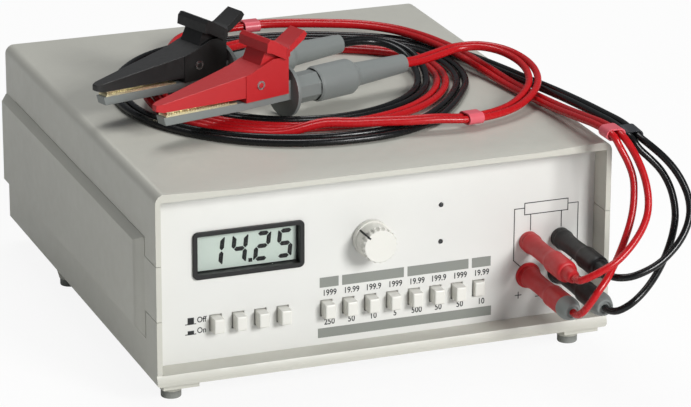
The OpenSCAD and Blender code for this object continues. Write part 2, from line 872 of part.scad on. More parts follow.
module zero_knob() {
    body_h = knob_out - knob_lift;
    edge = (knob_d - knob_face_d) / 4;
    color(panel_white) at_knob(panel_front_y - knob_lift) difference() {
        rotate_extrude() polygon([
            [0, knob_recess_h], [knob_recess_d / 2, knob_recess_h], [knob_recess_d / 2, 0],
            [knob_d / 2, 0], [knob_d / 2, knob_skirt_h], [knob_face_d / 2 + edge / 2, knob_skirt_h],
            [knob_face_d / 2, body_h - edge], [knob_face_d / 2 - edge, body_h], [0, body_h]
        ]);
        translate([0, 0, -cut_over]) cylinder(h = body_h - shaft_end + cut_over, r = shaft_d / 2 + run_gap);
        for (i = [0 : knob_flutes - 1]) rotate([0, 0, (i + 1 / 2) * 360 / knob_flutes])
            translate([knob_face_d / 2 + flute_d / 4, 0, body_h - flute_l])
                cylinder(h = body_h, d = flute_d, $fn = 16);
        rotate([0, 0, pointer_angle])
            translate([-pointer_w / 2, knob_face_d / 2 - pointer_depth, knob_skirt_h])
                cube([pointer_w, knob_d, body_h]);
    }
}

module zero_shaft() {
    body_h = knob_out - knob_lift;
    inside = display_board_y - panel_front_y - board_t;
    color(steel) at_knob(panel_front_y + inside)
        cylinder(h = inside + knob_lift + body_h - shaft_end - run_gap, d = shaft_d);
}

module zero_potentiometer() {
    back_y = display_board_y;
    color(steel) difference() {
        union() {
            at_knob(back_y) cylinder(h = back_y - panel_back_y - fit_gap, d = pot_d);
            at_knob(back_y) cylinder(h = back_y - panel_front_y + bush_out, d = bush_d);
            at_knob(panel_front_y) cylinder(h = nut_h, d = nut_d, $fn = 6);
        }
        at_knob(back_y - board_t + run_gap)
            cylinder(h = case_d, r = shaft_d / 2 + run_gap);
    }
}

// A panel socket: collar, body through the panel, nut behind it, and the bore for a plug's pin
module socket(x, z, tint, ringed) {
    lip_y = panel_front_y - collar_out;
    color(tint) translate([x, 0, z]) rotate([90, 0, 0]) difference() {
        union() {
            translate([0, 0, -panel_front_y]) cylinder(h = collar_out, d = socket_d);
            if (ringed) translate([0, 0, -panel_front_y]) cylinder(h = flange_out, d = flange_d);
            translate([0, 0, -panel_front_y - socket_body_l])
                cylinder(h = socket_body_l + collar_out / 2, d = socket_body_d);
            translate([0, 0, -panel_back_y - socket_nut_h])
                cylinder(h = socket_nut_h, d = socket_nut_d, $fn = 6);
        }
        translate([0, 0, -panel_front_y - pin_l - run_gap])
            cylinder(h = pin_l + collar_out + cut_over, r = pin_d / 2 + run_gap);
    }
}

module red_sockets() {
    for (i = [0, 1]) socket(plug_x[0], plug_z[i], lead_red, i == 1);
}

module black_sockets() {
    for (i = [0, 1]) socket(plug_x[1], plug_z[i], ink_black, i == 1);
}

module main_board() {
    color(board_green) difference() {
        block(
            [main_board_x0, main_board_y0, main_board_z],
            [main_board_x1, main_board_y1, main_board_z + board_t]
        );
        at_board_posts() translate([0, 0, main_board_z - cut_over])
            cylinder(h = board_t + 2 * cut_over, r = screw_d / 2 + fit_gap);
    }
}

module battery_tray() {
    half_x = (cell_count * cell_l + (cell_count - 1) * cell_gap) / 2 + cell_gap;
    half_y = cell_d / 2 + cell_gap;
    z0 = floor_z + wall;
    color(ink_black) difference() {
        block(
            [-half_x - tray_wall, battery_y - half_y - tray_wall, z0],
            [half_x + tray_wall, battery_y + half_y + tray_wall, z0 + tray_h]
        );
        block(
            [-half_x, battery_y - half_y, z0 + tray_wall],
            [half_x, battery_y + half_y, z0 + tray_h + cut_over]
        );
        at_screw_posts() cylinder(h = top_z, r = post_d / 2 + fit_gap);
    }
}

module battery_cells() {
    row_l = cell_count * cell_l + (cell_count - 1) * cell_gap;
    z = floor_z + wall + tray_wall + cell_gap / 2 + cell_d / 2;
    color("#3f5f8a") for (i = [0 : cell_count - 1]) {
        translate([-row_l / 2 + i * (cell_l + cell_gap), battery_y, z]) rotate([0, 90, 0])
            cylinder(h = cell_l, d = cell_d);
    }
}

module charger_socket() {
    outer_y = -panel_front_y;
    color(ink_black) translate([charger_x, outer_y, charger_z]) rotate([-90, 0, 0]) {
        difference() {
            union() {
                cylinder(h = charger_flange_t, d = charger_flange_d);
                translate([0, 0, -charger_l]) cylinder(h = charger_l + charger_flange_t / 2, d = charger_d);
            }
            translate([0, 0, -charger_l + charger_flange_t])
                cylinder(h = charger_l + cut_over, d = charger_bore_d);
        }
    }
}

// The pin stands on the bottom of the charger socket's bore
module charger_pin() {
    color(steel) translate([charger_x, -panel_front_y, charger_z]) rotate([-90, 0, 0])
        translate([0, 0, -charger_l + charger_flange_t])
            cylinder(h = charger_l - charger_flange_t / 2, d = charger_pin_d);
}

// Places an outline drawn as radius and distance from the panel round a socket's axis
module plug_turned(x, z) {
    translate([x, panel_front_y - collar_out, z]) rotate([90, 0, 0]) rotate_extrude() children();
}

// A plug's moulded body: collar, waist, flared grip and, on the ringless ones, a narrow tail
module plug(x, z, ringed) {
    l = plug_l - collar_out;
    step = plug_grip_d / 10;
    tail_l = ringed ? l * plug_tail_share : l;
    color_l = l * plug_waist_share;
    difference() {
        plug_turned(x, z) polygon(concat(
            [[0, 0], [socket_d / 2, 0], [socket_d / 2, color_l / 2], [plug_waist_d / 2, color_l],
                [plug_waist_d / 2, l * plug_grip_share], [plug_grip_d / 2, l * plug_grip_share + step],
                [plug_grip_d / 2 + step / 2, l * plug_tail_share - step / 2],
                [plug_grip_d / 2, l * plug_tail_share]],
            ringed ? [[0, tail_l]] : [[plug_tip_d / 2 + step / 2, l * plug_tail_share + step],
                [plug_tip_d / 2, l], [0, l]]
        ));
        plug_turned(x, z) square([pin_d / 2 + run_gap, pin_inside]);
    }
}

module red_plugs() {
    color(lead_red) {
        plug(plug_x[0], plug_z[0], false);
        plug(plug_x[0], plug_z[1], true);
    }
}

module black_plugs() {
    color(ink_black) {
        plug(plug_x[1], plug_z[0], false);
        plug(plug_x[1], plug_z[1], true);
    }
}

module plug_pins() {
    color(gold) for (x = plug_x, z = plug_z) {
        translate([x, panel_front_y + pin_l, z]) rotate([90, 0, 0])
            cylinder(h = pin_l + collar_out + pin_inside - run_gap, d = pin_d);
    }
}

module plug_end_rings() {
    l = plug_l - collar_out;
    color(soft_grey) for (x = plug_x) plug_turned(x, plug_z[1]) polygon([
        [0, l * plug_tail_share], [ring_d / 2, l * plug_tail_share],
        [ring_d / 2, l - (ring_d - ring_end_d)], [ring_end_d / 2, l], [0, l]
    ]);
}

// Unit vector of v
function unit(v) = v / norm(v);

// Smooth step from one table row to the next, at column c, for a turned angle a
function eased(k) = k * k * (3 - 2 * k);
function looked_up(rows, a, c, i = 0) =
    i >= len(rows) - 1 ? rows[len(rows) - 1][c]
    : a > rows[i + 1][0] ? looked_up(rows, a, c, i + 1)
    : rows[i][c] + (rows[i + 1][c] - rows[i][c])
        * eased(max(0, (a - rows[i][0]) / (rows[i + 1][0] - rows[i][0])));

// Middle line of a wound pair: an oval spiral on the case, as X, Y, Z and the strands' spread
function wound(rows) =
    let (first = rows[0][0], last = rows[len(rows) - 1][0], n = round((last - first) / coil_step))
    [for (i = [0 : n])
        let (a = first + i * (last - first) / n, out = looked_up(rows, a, 1) * coil_pitch,
            x = (coil_a + out) * cos(a), y = -(coil_b + out) * sin(a))
        [coil_x + x * cos(coil_turn) - y * sin(coil_turn), coil_y + x * sin(coil_turn) + y * cos(coil_turn),
            top_z + lead_lift + looked_up(rows, a, 2) * layer_h, looked_up(rows, a, 3)]];

// A free stretch's points with the case's top height and an even spread added
function laid(points) = [for (p = points) [p[0], p[1], top_z + p[2], 1]];

// Place where a clip's pair leaves its boot, and the points that keep it straight there
function clip_exit(x, y, turn, run) =
    [x + (boot_end_s + run) * cos(turn), y + (boot_end_s + run) * sin(turn), clip_z + neck_h, 1];

red_pair = concat(
    [clip_exit(red_clip_x, red_clip_y, red_clip_turn, 0),
        clip_exit(red_clip_x, red_clip_y, red_clip_turn, lead_d)],
    laid(red_lead_in), wound(red_winding_shares), laid(red_lead_out)
);
black_pair = concat(
    [clip_exit(black_clip_x, black_clip_y, black_clip_turn, 0),
        clip_exit(black_clip_x, black_clip_y, black_clip_turn, lead_d)],
    laid(black_lead_in), wound(black_winding_shares), laid(black_lead_out)
);

// One strand of a pair, to one side of its middle line
function strand(pair, side) = [for (i = [0 : len(pair) - 1])
    let (a = pair[max(i - 1, 0)], b = pair[min(i + 1, len(pair) - 1)],
        d = unit([b[0] - a[0], b[1] - a[1], 0]))
    [pair[i][0] - side * strand_half * pair[i][3] * d[1],
        pair[i][1] + side * strand_half * pair[i][3] * d[0], pair[i][2]]];

// The whole drop: it starts where its strand's coil ends and stops at its plug
function drop(pair, side, route, x, z) =
    let (s = strand(pair, side))
        concat([s[len(s) - 1]], route, [[x, plug_end_y - lead_d, z], [x, plug_end_y, z]]);

// Directions along a line of points, and a sideways vector carried along it without twist
function directions(p, first, last) = [for (i = [0 : len(p) - 1])
    i == 0 && first != [] ? first : i == len(p) - 1 && last != [] ? last
    : unit(p[min(i + 1, len(p) - 1)] - p[max(i - 1, 0)])];
function carried(t, u, i = 0) =
    i == len(t) ? [] : let (v = unit(u - (u * t[i]) * t[i])) concat([v], carried(t, v, i + 1));

// A round tube through points, with flat ends
module tube(p, n, first = [], last = []) {
    t = directions(p, first, last);
    u = carried(t, [0, 0, 1]);
    rings = [for (i = [0 : len(p) - 1], k = [0 : n - 1])
        p[i] + lead_r * (cos(k * 360 / n) * u[i] + sin(k * 360 / n) * cross(t[i], u[i]))];
    sides = [for (i = [0 : len(p) - 2], k = [0 : n - 1], half = [0, 1])
        let (a = i * n + k, b = i * n + (k + 1) % n) half == 0 ? [a, b + n, b] : [a, a + n, b + n]];
    start = [for (k = [1 : n - 2]) [0, k, k + 1]];
    end = [for (k = [1 : n - 2]) let (o = (len(p) - 1) * n) [o, o + k + 1, o + k]];
    polyhedron(points = rings, faces = concat(sides, start, end));
}

// Least gap of a wound strand to itself, between its points and the middles of its legs, more than
// half a turn apart
module print_gap(name, p) {
    q = [for (i = [0 : len(p) - 2], half = [0, 1]) p[i] + (p[i + 1] - p[i]) * half / 2];
    apart = 24;
    gap = min([for (i = [0 : len(q) - 1 - apart], j = [i + apart : len(q) - 1]) norm(q[i] - q[j])]) - lead_d;
    echo(str(name, " least gap to itself in mm: "), gap);
}

module coil(name, pair, side) {
    p = strand(pair, side);
    print_gap(name, p);
    tube(p, coil_sides, [], [0, -1, 0]);
}

module red_sense_coil() {
    color(lead_red) coil("red sense coil", red_pair, 1);
}

module red_force_coil() {
    color(lead_red) coil("red force coil", red_pair, -1);
}

module black_sense_coil() {
    color(ink_black) coil("black sense coil", black_pair, 1);
}

module black_force_coil() {
    color(ink_black) coil("black force coil", black_pair, -1);
}

module red_sense_drop() {
    color(lead_red)
        tube(drop(red_pair, 1, red_sense_route, plug_x[0], plug_z[0]), drop_sides, [0, -1, 0], [0, 1, 0]);
}

module red_force_drop() {
    color(lead_red)
        tube(drop(red_pair, -1, red_force_route, plug_x[0], plug_z[1]), drop_sides, [0, -1, 0], [0, 1, 0]);
}

module black_sense_drop() {
    color(ink_black)
        tube(drop(black_pair, 1, black_sense_route, plug_x[1], plug_z[0]), drop_sides,
            [0, -1, 0], [0, 1, 0]);
}

module black_force_drop() {
    color(ink_black)
        tube(drop(black_pair, -1, black_force_route, plug_x[1], plug_z[1]), drop_sides,
            [0, -1, 0], [0, 1, 0]);
}

// A sleeve round both strands of a pair on one straight leg of its route
module sleeve(pair, leg, share) {
    a = [pair[leg][0], pair[leg][1], pair[leg][2]];
    b = [pair[leg + 1][0], pair[leg + 1][1], pair[leg + 1][2]];
    d = b - a;
    bore_r = lead_r + sleeve_gap;
    out_r = bore_r + sleeve_t;
    translate(a + d * share) rotate([0, -atan2(d[2], norm([d[0], d[1]])), atan2(d[1], d[0])])
        rotate([90, 0, 90]) translate([0, 0, -sleeve_l / 2]) linear_extrude(sleeve_l) difference() {
            union() {
                for (side = [-1, 1]) translate([side * strand_half, 0]) circle(r = out_r);
                translate([-strand_half, -out_r]) square([2 * strand_half, 2 * out_r]);
            }
            for (side = [-1, 1]) translate([side * strand_half, 0]) circle(r = bore_r);
            translate([-strand_half, -bore_r]) square([2 * strand_half, 2 * bore_r]);
        }
}

module red_lead_sleeves() {
    color(pale_red) for (i = [0 : len(red_sleeve_legs) - 1]) {
        sleeve(red_pair, red_sleeve_legs[i], red_sleeve_shares[i]);
    }
}

module black_lead_sleeve() {
    color(ink_black) sleeve(black_pair, black_sleeve_leg, black_sleeve_share);
}

// Puts a clip drawn along X, with its jaw tip at the origin, at its place on the case
module at_red_clip() {
    translate([red_clip_x, red_clip_y, clip_z]) rotate([0, 0, red_clip_turn]) children();
}

module at_black_clip() {
    translate([black_clip_x, black_clip_y, clip_z]) rotate([0, 0, black_clip_turn]) children();
}

// Outline of a jaw seen from above: narrow at the tip, then parallel
module jaw_plan(tip_half, root_half, root_s, end_s) {
    polygon([
        [-jaw_nose, -tip_half / 2], [0, -tip_half], [root_s, -root_half], [end_s, -root_half],
        [end_s, root_half], [root_s, root_half], [0, tip_half], [-jaw_nose, tip_half / 2]
    ]);
}

// Cuts a body in X and Z to an outline seen from above
module within_plan() {
    intersection() {
        children(0);
        translate([0, 0, -guard_r]) linear_extrude(4 * guard_r) children(1);
    }
}

// Lower half of a clip: jaw, lug for the pivot, finger guard and faceted neck
module clip_body() {
    guard_mid_s = guard_s + guard_t / 2;
    difference() {
        union() {
            within_plan() {
                along_y(-cheek_half, cheek_half) polygon([
                    [0, lower_jaw_top_h], [lower_jaw_tip_h / 3, -lower_jaw_tip_h],
                    [guard_mid_s, -lower_jaw_root_h], [guard_mid_s, lower_jaw_top_h]
                ]);
                jaw_plan(jaw_tip_half, jaw_root_half, cheek_s, guard_s + guard_t);
            }
            along_y(-jaw_root_half, jaw_root_half) {
                translate([pivot_s, pivot_h]) circle(r = lug_r);
                polygon([
                    [pivot_s - lug_r, -lower_jaw_root_h / 2], [guard_mid_s, -lower_jaw_root_h / 2],
                    [guard_mid_s, neck_r + neck_h], [pivot_s + lug_r, pivot_h - lug_r / 2],
                    [pivot_s, pivot_h], [pivot_s - lug_r, pivot_h]
                ]);
            }
            translate([guard_s, 0, 0]) rotate([0, 90, 0]) cylinder(h = guard_t, r = guard_r, $fn = 64);
            translate([guard_mid_s, 0, neck_h]) rotate([0, 90, 0]) rotate([0, 0, 180 / neck_sides])
                cylinder(h = neck_end_s - guard_mid_s, r = neck_r, $fn = neck_sides);
        }
        along_y(-cheek_half, cheek_half) translate([pivot_s, pivot_h]) circle(r = pivot_d / 2 + run_gap);
    }
}

// Points given as shares of the distance from the jaw's tip to the pivot
function jaw_points(shares) = [for (q = shares) q * pivot_s];

module clip_jaw() {
    cheek_low_h = lower_jaw_top_h + contact_gap;
    top = jaw_points(jaw_top_shares);
    plan = jaw_points(thumb_plan_shares);
    neck = jaw_points(thumb_neck_shares);
    difference() {
        union() {
            within_plan() {
                along_y(-cheek_half, cheek_half) polygon(concat(
                    [[-jaw_nose, upper_line_h + contact_t], [0, upper_line_h], [cheek_s, upper_line_h],
                        [cheek_s, cheek_low_h], [cheek_end_s, cheek_low_h], [cheek_end_s, top[0][1]]], top
                ));
                union() {
                    jaw_plan(jaw_tip_half, cheek_half - cheek_step, cheek_s, cheek_s + contact_t);
                    translate([cheek_s, -cheek_half]) square([cheek_end_s - cheek_s, 2 * cheek_half]);
                }
            }
            within_plan() {
                along_y(-2 * cheek_half, 2 * cheek_half) polygon(jaw_points(thumb_outline_shares));
                polygon(concat(plan, [for (i = [len(plan) - 1 : -1 : 0]) [plan[i][0], -plan[i][1]]]));
            }
            along_y(-jaw_root_half, jaw_root_half) polygon(neck);
        }
        clip_cavity();
        along_y(-2 * cheek_half, 2 * cheek_half) translate([pivot_s, pivot_h])
            circle(r = pivot_d / 2 + run_gap);
    }
}

// Room between the cheeks for the lug, wide enough for the whole swing
module clip_cavity() {
    clear_r = lug_r + lug_clear;
    along_y(-cheek_inner_half, cheek_inner_half) {
        translate([pivot_s, pivot_h]) circle(r = clear_r);
        translate([pivot_s - clear_r, -guard_r]) square([guard_r + clear_r, pivot_h + guard_r]);
        translate([pivot_s, -guard_r]) square([2 * clear_r + guard_r, pivot_h + guard_r + clear_r * 3 / 4]);
    }
}

module red_clip_body() {
    color(soft_grey) at_red_clip() clip_body();
}

module black_clip_body() {
    color(soft_grey) at_black_clip() clip_body();
}

module red_clip_jaw() {
    color(lead_red) at_red_clip() clip_jaw();
}

module black_clip_jaw() {
    color(ink_black) at_black_clip() clip_jaw();
}

// A toothed strip with even saw teeth on a flat back
module contact(root_h, up) {
    end_s = contact_s0 + (tooth_count + 3) * tooth_pitch;
    shift = up > 0 ? 0 : tooth_pitch / 2;
    along_y(-contact_half, contact_half) polygon(concat(
        [[contact_s0, root_h]],
        [for (i = [0 : tooth_count - 1], half = [0, 1])
            [contact_s0 + shift + (i + half / 2) * tooth_pitch, root_h + up * (contact_t + half * tooth_h)]],
        [[contact_s0 + shift + tooth_count * tooth_pitch, root_h + up * contact_t],
            [end_s, root_h + up * contact_t], [end_s, root_h]]
    ));
}

module red_upper_contact() {
    color(gold) at_red_clip() contact(upper_line_h, -1);
}

module black_upper_contact() {
    color(gold) at_black_clip() contact(upper_line_h, -1);
}

module lower_contacts() {
    color(gold) {
        at_red_clip() contact(lower_jaw_top_h, 1);
        at_black_clip() contact(lower_jaw_top_h, 1);
    }
}

module clip_pivot() {
    translate([pivot_s, 0, pivot_h]) rotate([90, 0, 0]) {
        translate([0, 0, -cheek_half]) cylinder(h = 2 * cheek_half, d = pivot_d);
        for (side = [-1, 1]) translate([0, 0, side * (cheek_half + pivot_head_t / 2) - pivot_head_t / 2])
            cylinder(h = pivot_head_t, d = pivot_head_d);
    }
}

module clip_pivots() {
    color(steel) {
        at_red_clip() clip_pivot();
        at_black_clip() clip_pivot();
    }
}

// The rubber boot: a thick part over the neck's end, then a taper to the leads
module clip_boot() {
    step = boot_d / 12;
    translate([0, 0, neck_h]) rotate([0, 90, 0]) rotate_extrude() polygon([
        [boot_bore_d / 2, boot_s], [boot_d / 2 - step / 2, boot_s], [boot_d / 2, boot_s + step],
        [boot_d / 2, boot_step_s - step], [boot_d / 2 - step / 2, boot_step_s],
        [boot_taper_d / 2, boot_step_s + 2 * step], [boot_end_d / 2, boot_end_s], [0, boot_end_s],
        [0, boot_bore_end_s], [boot_bore_d / 2, boot_bore_end_s]
    ]);
}

module clip_boots() {
    color(soft_grey) {
        at_red_clip() clip_boot();
        at_black_clip() clip_boot();
    }
}

bottom_case();
top_case();
left_side_panel();
right_side_panel();
front_panel();
rear_panel();
rubber_feet();
screws();
display_frame();
display_window();
lcd_module();
display_board();
indicator_leds();
function_button(0);  // function_button_1
function_button(1);  // function_button_2
function_button(2);  // function_button_3
function_button(3);  // function_button_4
range_button(0);  // range_button_1
range_button(1);  // range_button_2
range_button(2);  // range_button_3
range_button(3);  // range_button_4
range_button(4);  // range_button_5
range_button(5);  // range_button_6
range_button(6);  // range_button_7
range_button(7);  // range_button_8
zero_knob();
zero_shaft();
zero_potentiometer();
function_switch_bank();
range_switch_bank();
red_sockets();
black_sockets();
main_board();
battery_tray();
battery_cells();
charger_socket();
charger_pin();
red_plugs();
black_plugs();
plug_pins();
plug_end_rings();
red_lead_sleeves();
black_lead_sleeve();
red_sense_coil();
red_force_coil();
black_sense_coil();
black_force_coil();
red_sense_drop();
red_force_drop();
black_sense_drop();
black_force_drop();
red_clip_body();
black_clip_body();
red_clip_jaw();
black_clip_jaw();
red_upper_contact();
black_upper_contact();
lower_contacts();
clip_pivots();
clip_boots();
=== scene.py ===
"""Looks of a bench micro ohmmeter with two four-wire test clips on coiled leads.

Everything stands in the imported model's frame, in metres: X runs to the right seen from the
front, Y to the back and Z up.
"""

import logging
import math
from dataclasses import dataclass, field
from enum import Enum
from typing import Iterable, Sequence

import bmesh
import bpy
from mathutils import Matrix, Vector


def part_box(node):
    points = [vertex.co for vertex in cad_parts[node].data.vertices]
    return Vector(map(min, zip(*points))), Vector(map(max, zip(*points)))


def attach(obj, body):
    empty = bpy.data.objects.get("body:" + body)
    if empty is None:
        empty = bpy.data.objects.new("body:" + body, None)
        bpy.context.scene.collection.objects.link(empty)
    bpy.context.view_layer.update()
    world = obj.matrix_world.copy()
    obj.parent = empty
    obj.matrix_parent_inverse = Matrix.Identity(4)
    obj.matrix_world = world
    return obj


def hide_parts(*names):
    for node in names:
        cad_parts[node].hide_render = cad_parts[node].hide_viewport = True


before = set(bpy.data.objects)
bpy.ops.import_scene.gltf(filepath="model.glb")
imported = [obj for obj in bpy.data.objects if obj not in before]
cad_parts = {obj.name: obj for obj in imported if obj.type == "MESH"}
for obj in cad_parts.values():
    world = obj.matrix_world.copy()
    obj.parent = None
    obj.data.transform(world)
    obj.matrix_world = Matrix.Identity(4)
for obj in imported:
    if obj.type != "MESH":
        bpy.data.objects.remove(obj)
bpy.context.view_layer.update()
LOG = logging.getLogger("micro_ohmmeter")
MM = 0.001
# The body of all fixed pieces, and the Y of the panel's front
BASE = "instrument"
PANEL_Y = -0.108
# CAD points nearer than this are one, and faces that meet at less than this angle are flat
SAME_POINT = 2e-6
FLAT_ANGLE = math.radians(0.4)
# Nearly all of a noise texture's values lie between these
NOISE_SPAN = (0.3, 0.7)
Point = tuple[float, float, float]
Spot = tuple[float, float]


# Small tools


def linear(code: str) -> tuple[float, float, float, float]:
    """Turns an sRGB hex colour into a linear colour with full alpha.

    Args:
        code: Six hex digits after a hash.

    Returns:
        Red, green, blue and alpha.
    """
    parts = [int(code[i : i + 2], 16) / 255 for i in (1, 3, 5)]
    r, g, b = (c / 12.92 if c <= 0.04045 else ((c + 0.055) / 1.055) ** 2.4 for c in parts)
    return r, g, b, 1.0


def add_node(
    tree: bpy.types.NodeTree, kind: str, inputs: dict | None = None, **settings: object
) -> bpy.types.Node:
    """Adds a node with its settings and its inputs.

    Args:
        tree: The node tree that gets the node.
        kind: Blender's name of the node type.
        inputs: Output sockets and plain values by the name or number of the input they feed.
        settings: Property values by name.

    Returns:
        The new node.
    """
    node = tree.nodes.new(kind)
    for name, value in settings.items():
        setattr(node, name, value)
    for name, source in (inputs or {}).items():
        if isinstance(source, bpy.types.NodeSocket):
            tree.links.new(source, node.inputs[name])
        else:
            node.inputs[name].default_value = source
    return node


def empty_tree(data: bpy.types.Material | bpy.types.World) -> bpy.types.NodeTree:
    """Turns on the nodes of a material or a world, and empties its tree.

    Args:
        data: The material or world.

    Returns:
        The empty tree.
    """
    data.use_nodes = True
    data.node_tree.nodes.clear()
    return data.node_tree


def new_object(name: str, data: bpy.types.ID) -> bpy.types.Object:
    """Puts a mesh, a text, a lamp or a camera into the scene as an object at the origin.

    Args:
        name: Name of the object.
        data: What the object shows.

    Returns:
        The new object.
    """
    obj = bpy.data.objects.new(name, data)
    bpy.context.scene.collection.objects.link(obj)
    return obj


def from_bmesh(name: str, bm: bmesh.types.BMesh, outward: bool = False) -> bpy.types.Object:
    """Makes an object of a bmesh and frees the bmesh.

    Args:
        name: Name of the object.
        bm: The finished bmesh.
        outward: Turns its faces outwards first.

    Returns:
        The new object.
    """
    if outward:
        bmesh.ops.recalc_face_normals(bm, faces=bm.faces)
    mesh = bpy.data.meshes.new(name)
    bm.to_mesh(mesh)
    bm.free()
    return new_object(name, mesh)


def plain_mesh(obj: bpy.types.Object) -> bpy.types.Mesh:
    """Works out an object's modifiers or text.

    Args:
        obj: The object.

    Returns:
        Its plain mesh.
    """
    bpy.context.view_layer.update()
    graph = bpy.context.evaluated_depsgraph_get()
    return bpy.data.meshes.new_from_object(obj.evaluated_get(graph))


def baked(obj: bpy.types.Object, name: str) -> bpy.types.Object:
    """Turns an object with modifiers or a text into a plain mesh object.

    Args:
        obj: The object to bake, which is removed.
        name: Name of the baked object.

    Returns:
        The baked object, with its place in its mesh.
    """
    mesh = plain_mesh(obj)
    mesh.transform(obj.matrix_world)
    mesh.name = name
    bpy.data.objects.remove(obj)
    return new_object(name, mesh)


def joined(
    name: str, parts: Sequence[bpy.types.Object], outward: bool = False
) -> bpy.types.Object:
    """Joins plain mesh objects into one.

    Args:
        name: Name of the joined object.
        parts: The objects to join, which are removed.
        outward: Turns the faces outwards.

    Returns:
        The joined object.
    """
    bm = bmesh.new()
    for part in parts:
        bm.from_mesh(part.data)
        bpy.data.objects.remove(part)
    return from_bmesh(name, bm, outward)


def cleaned(node: str, merge_flat: bool = True) -> bmesh.types.BMesh:
    """Copies a CAD node's mesh and joins its doubled points.

    Args:
        node: Name of the CAD node.
        merge_flat: Joins its flat triangles into larger faces too.

    Returns:
        The copy.
    """
    bm = bmesh.new()
    bm.from_mesh(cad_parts[node].data)
    bmesh.ops.remove_doubles(bm, verts=bm.verts, dist=SAME_POINT)
    if merge_flat:
        bmesh.ops.dissolve_limit(bm, angle_limit=FLAT_ANGLE, verts=bm.verts, edges=bm.edges)
    return bm


def rounded(
    node: str, bm: bmesh.types.BMesh, width: float, angle: float = 28, segments: int = 2
) -> bpy.types.Object:
    """Rounds the sharp edges of a CAD node's copy.

    Args:
        node: Name of the CAD node.
        bm: The copy, which is freed.
        width: Width of the rounding.
        angle: Least angle in degrees between two faces whose edge is rounded.
        segments: Number of faces across a rounding.

    Returns:
        The rounded object.
    """
    obj = from_bmesh(node + "_rough", bm)
    bevel = obj.modifiers.new("edges", "BEVEL")
    bevel.width = width
    bevel.segments = segments
    bevel.limit_method = "ANGLE"
    bevel.angle_limit = math.radians(angle)
    return baked(obj, node + "_shown")


def loft(name: str, bodies: Sequence[Sequence[Sequence[Point]]]) -> bpy.types.Object:
    """Skins closed bodies over rings of points.

    Args:
        name: Name of the object.
        bodies: The rings of each body in order, where a ring of one point is a pole.

    Returns:
        All bodies as one object.
    """
    bm = bmesh.new()
    for body in bodies:
        rings = [[bm.verts.new(spot) for spot in ring] for ring in body]
        for a, b in zip(rings, rings[1:]):
            sides = max(len(a), len(b))
            for k in range(sides):
                n = (k + 1) % sides
                corners = [a[k % len(a)], a[n % len(a)], b[n % len(b)], b[k % len(b)]]
                bm.faces.new(list(dict.fromkeys(corners)))
        for end in (rings[0], rings[-1]):
            if len(end) > 1:
                bm.faces.new(end)
    return from_bmesh(name, bm, outward=True)


def lathe(name: str, profile: Sequence[Spot], place: Matrix, sides: int = 40) -> bpy.types.Object:
    """Turns a profile round an axis into a closed body.

    Args:
        name: Name of the object.
        profile: Distances along the axis and radii, from one pole to the other.
        place: Matrix that puts the axis, drawn as +Z, in its place.
        sides: Number of faces round the axis.

    Returns:
        The turned object.
    """
    angles = [2 * math.pi * k / sides for k in range(sides)]
    rings = [
        [(radius * math.cos(t), radius * math.sin(t), along) for t in (angles if radius else [0])]
        for along, radius in profile
    ]
    obj = loft(name, [rings])
    obj.data.transform(place)
    return obj


def thin_plates(
    name: str, outlines: Sequence[Sequence[Spot]], front: float, back: float
) -> bpy.types.Object:
    """Makes thin plates that face the front.

    Args:
        name: Name of the object.
        outlines: X and height of each plate's corners, in millimetres.
        front: Y of the plates' front.
        back: Y of the plates' back.

    Returns:
        The plates as one object.
    """
    bodies = [[[(x * MM, y, z * MM) for x, z in line] for y in (front, back)] for line in outlines]
    return loft(name, bodies)


def facing_front(x: float, y: float, z: float) -> Matrix:
    """Matrix that turns +Z to the front (-Y) and moves the origin to a place."""
    return Matrix.Translation((x, y, z)) @ Matrix.Rotation(math.pi / 2, 4, "X")


class Growth:
    """A geometry node tree that grows a piece from a mesh, with inputs of its own."""

    def __init__(self, name: str, kinds: dict[str, str]) -> None:
        """Starts the tree.

        Args:
            name: Name of the tree.
            kinds: Kind of each input by its name. The geometry and the finish are added.
        """
        self.tree = bpy.data.node_groups.new(name, "GeometryNodeTree")
        face = self.tree.interface
        self.identifiers = {
            key: face.new_socket(key, in_out="INPUT", socket_type=f"NodeSocket{kind}").identifier
            for key, kind in {"Geometry": "Geometry", **kinds, "Finish": "Material"}.items()
        }
        face.new_socket("Geometry", in_out="OUTPUT", socket_type="NodeSocketGeometry")
        self.entry = self.add("NodeGroupInput")

    def add(
        self, kind: str, inputs: dict | None = None, **settings: object
    ) -> bpy.types.NodeOutputs:
        """Adds a node as add_node does, and returns its outputs."""
        return add_node(self.tree, kind, inputs, **settings).outputs

    def close(self, shape: bpy.types.NodeSocket) -> None:
        """Makes the grown shape real, gives it its finish and ends the tree.

        Args:
            shape: The socket with the shape.
        """
        real = self.add("GeometryNodeRealizeInstances", {"Geometry": shape})
        parts = {"Geometry": real["Geometry"], "Material": self.entry["Finish"]}
        dressed = self.add("GeometryNodeSetMaterial", parts)
        self.add("NodeGroupOutput", {"Geometry": dressed["Geometry"]})

    def grow(self, name: str, mesh: bpy.types.Mesh, values: dict[str, object]) -> bpy.types.Object:
        """Runs the tree on a mesh and bakes the piece.

        Args:
            name: Name of the piece.
            mesh: The mesh that the tree starts from.
            values: Value of each input by its name.

        Returns:
            The piece as one plain mesh.
        """
        carrier = new_object(name + "_carrier", mesh)
        modifier = carrier.modifiers.new("growth", "NODES")
        modifier.node_group = self.tree
        for key, value in values.items():
            modifier[self.identifiers[key]] = value
        return baked(carrier, name)


# Finishes


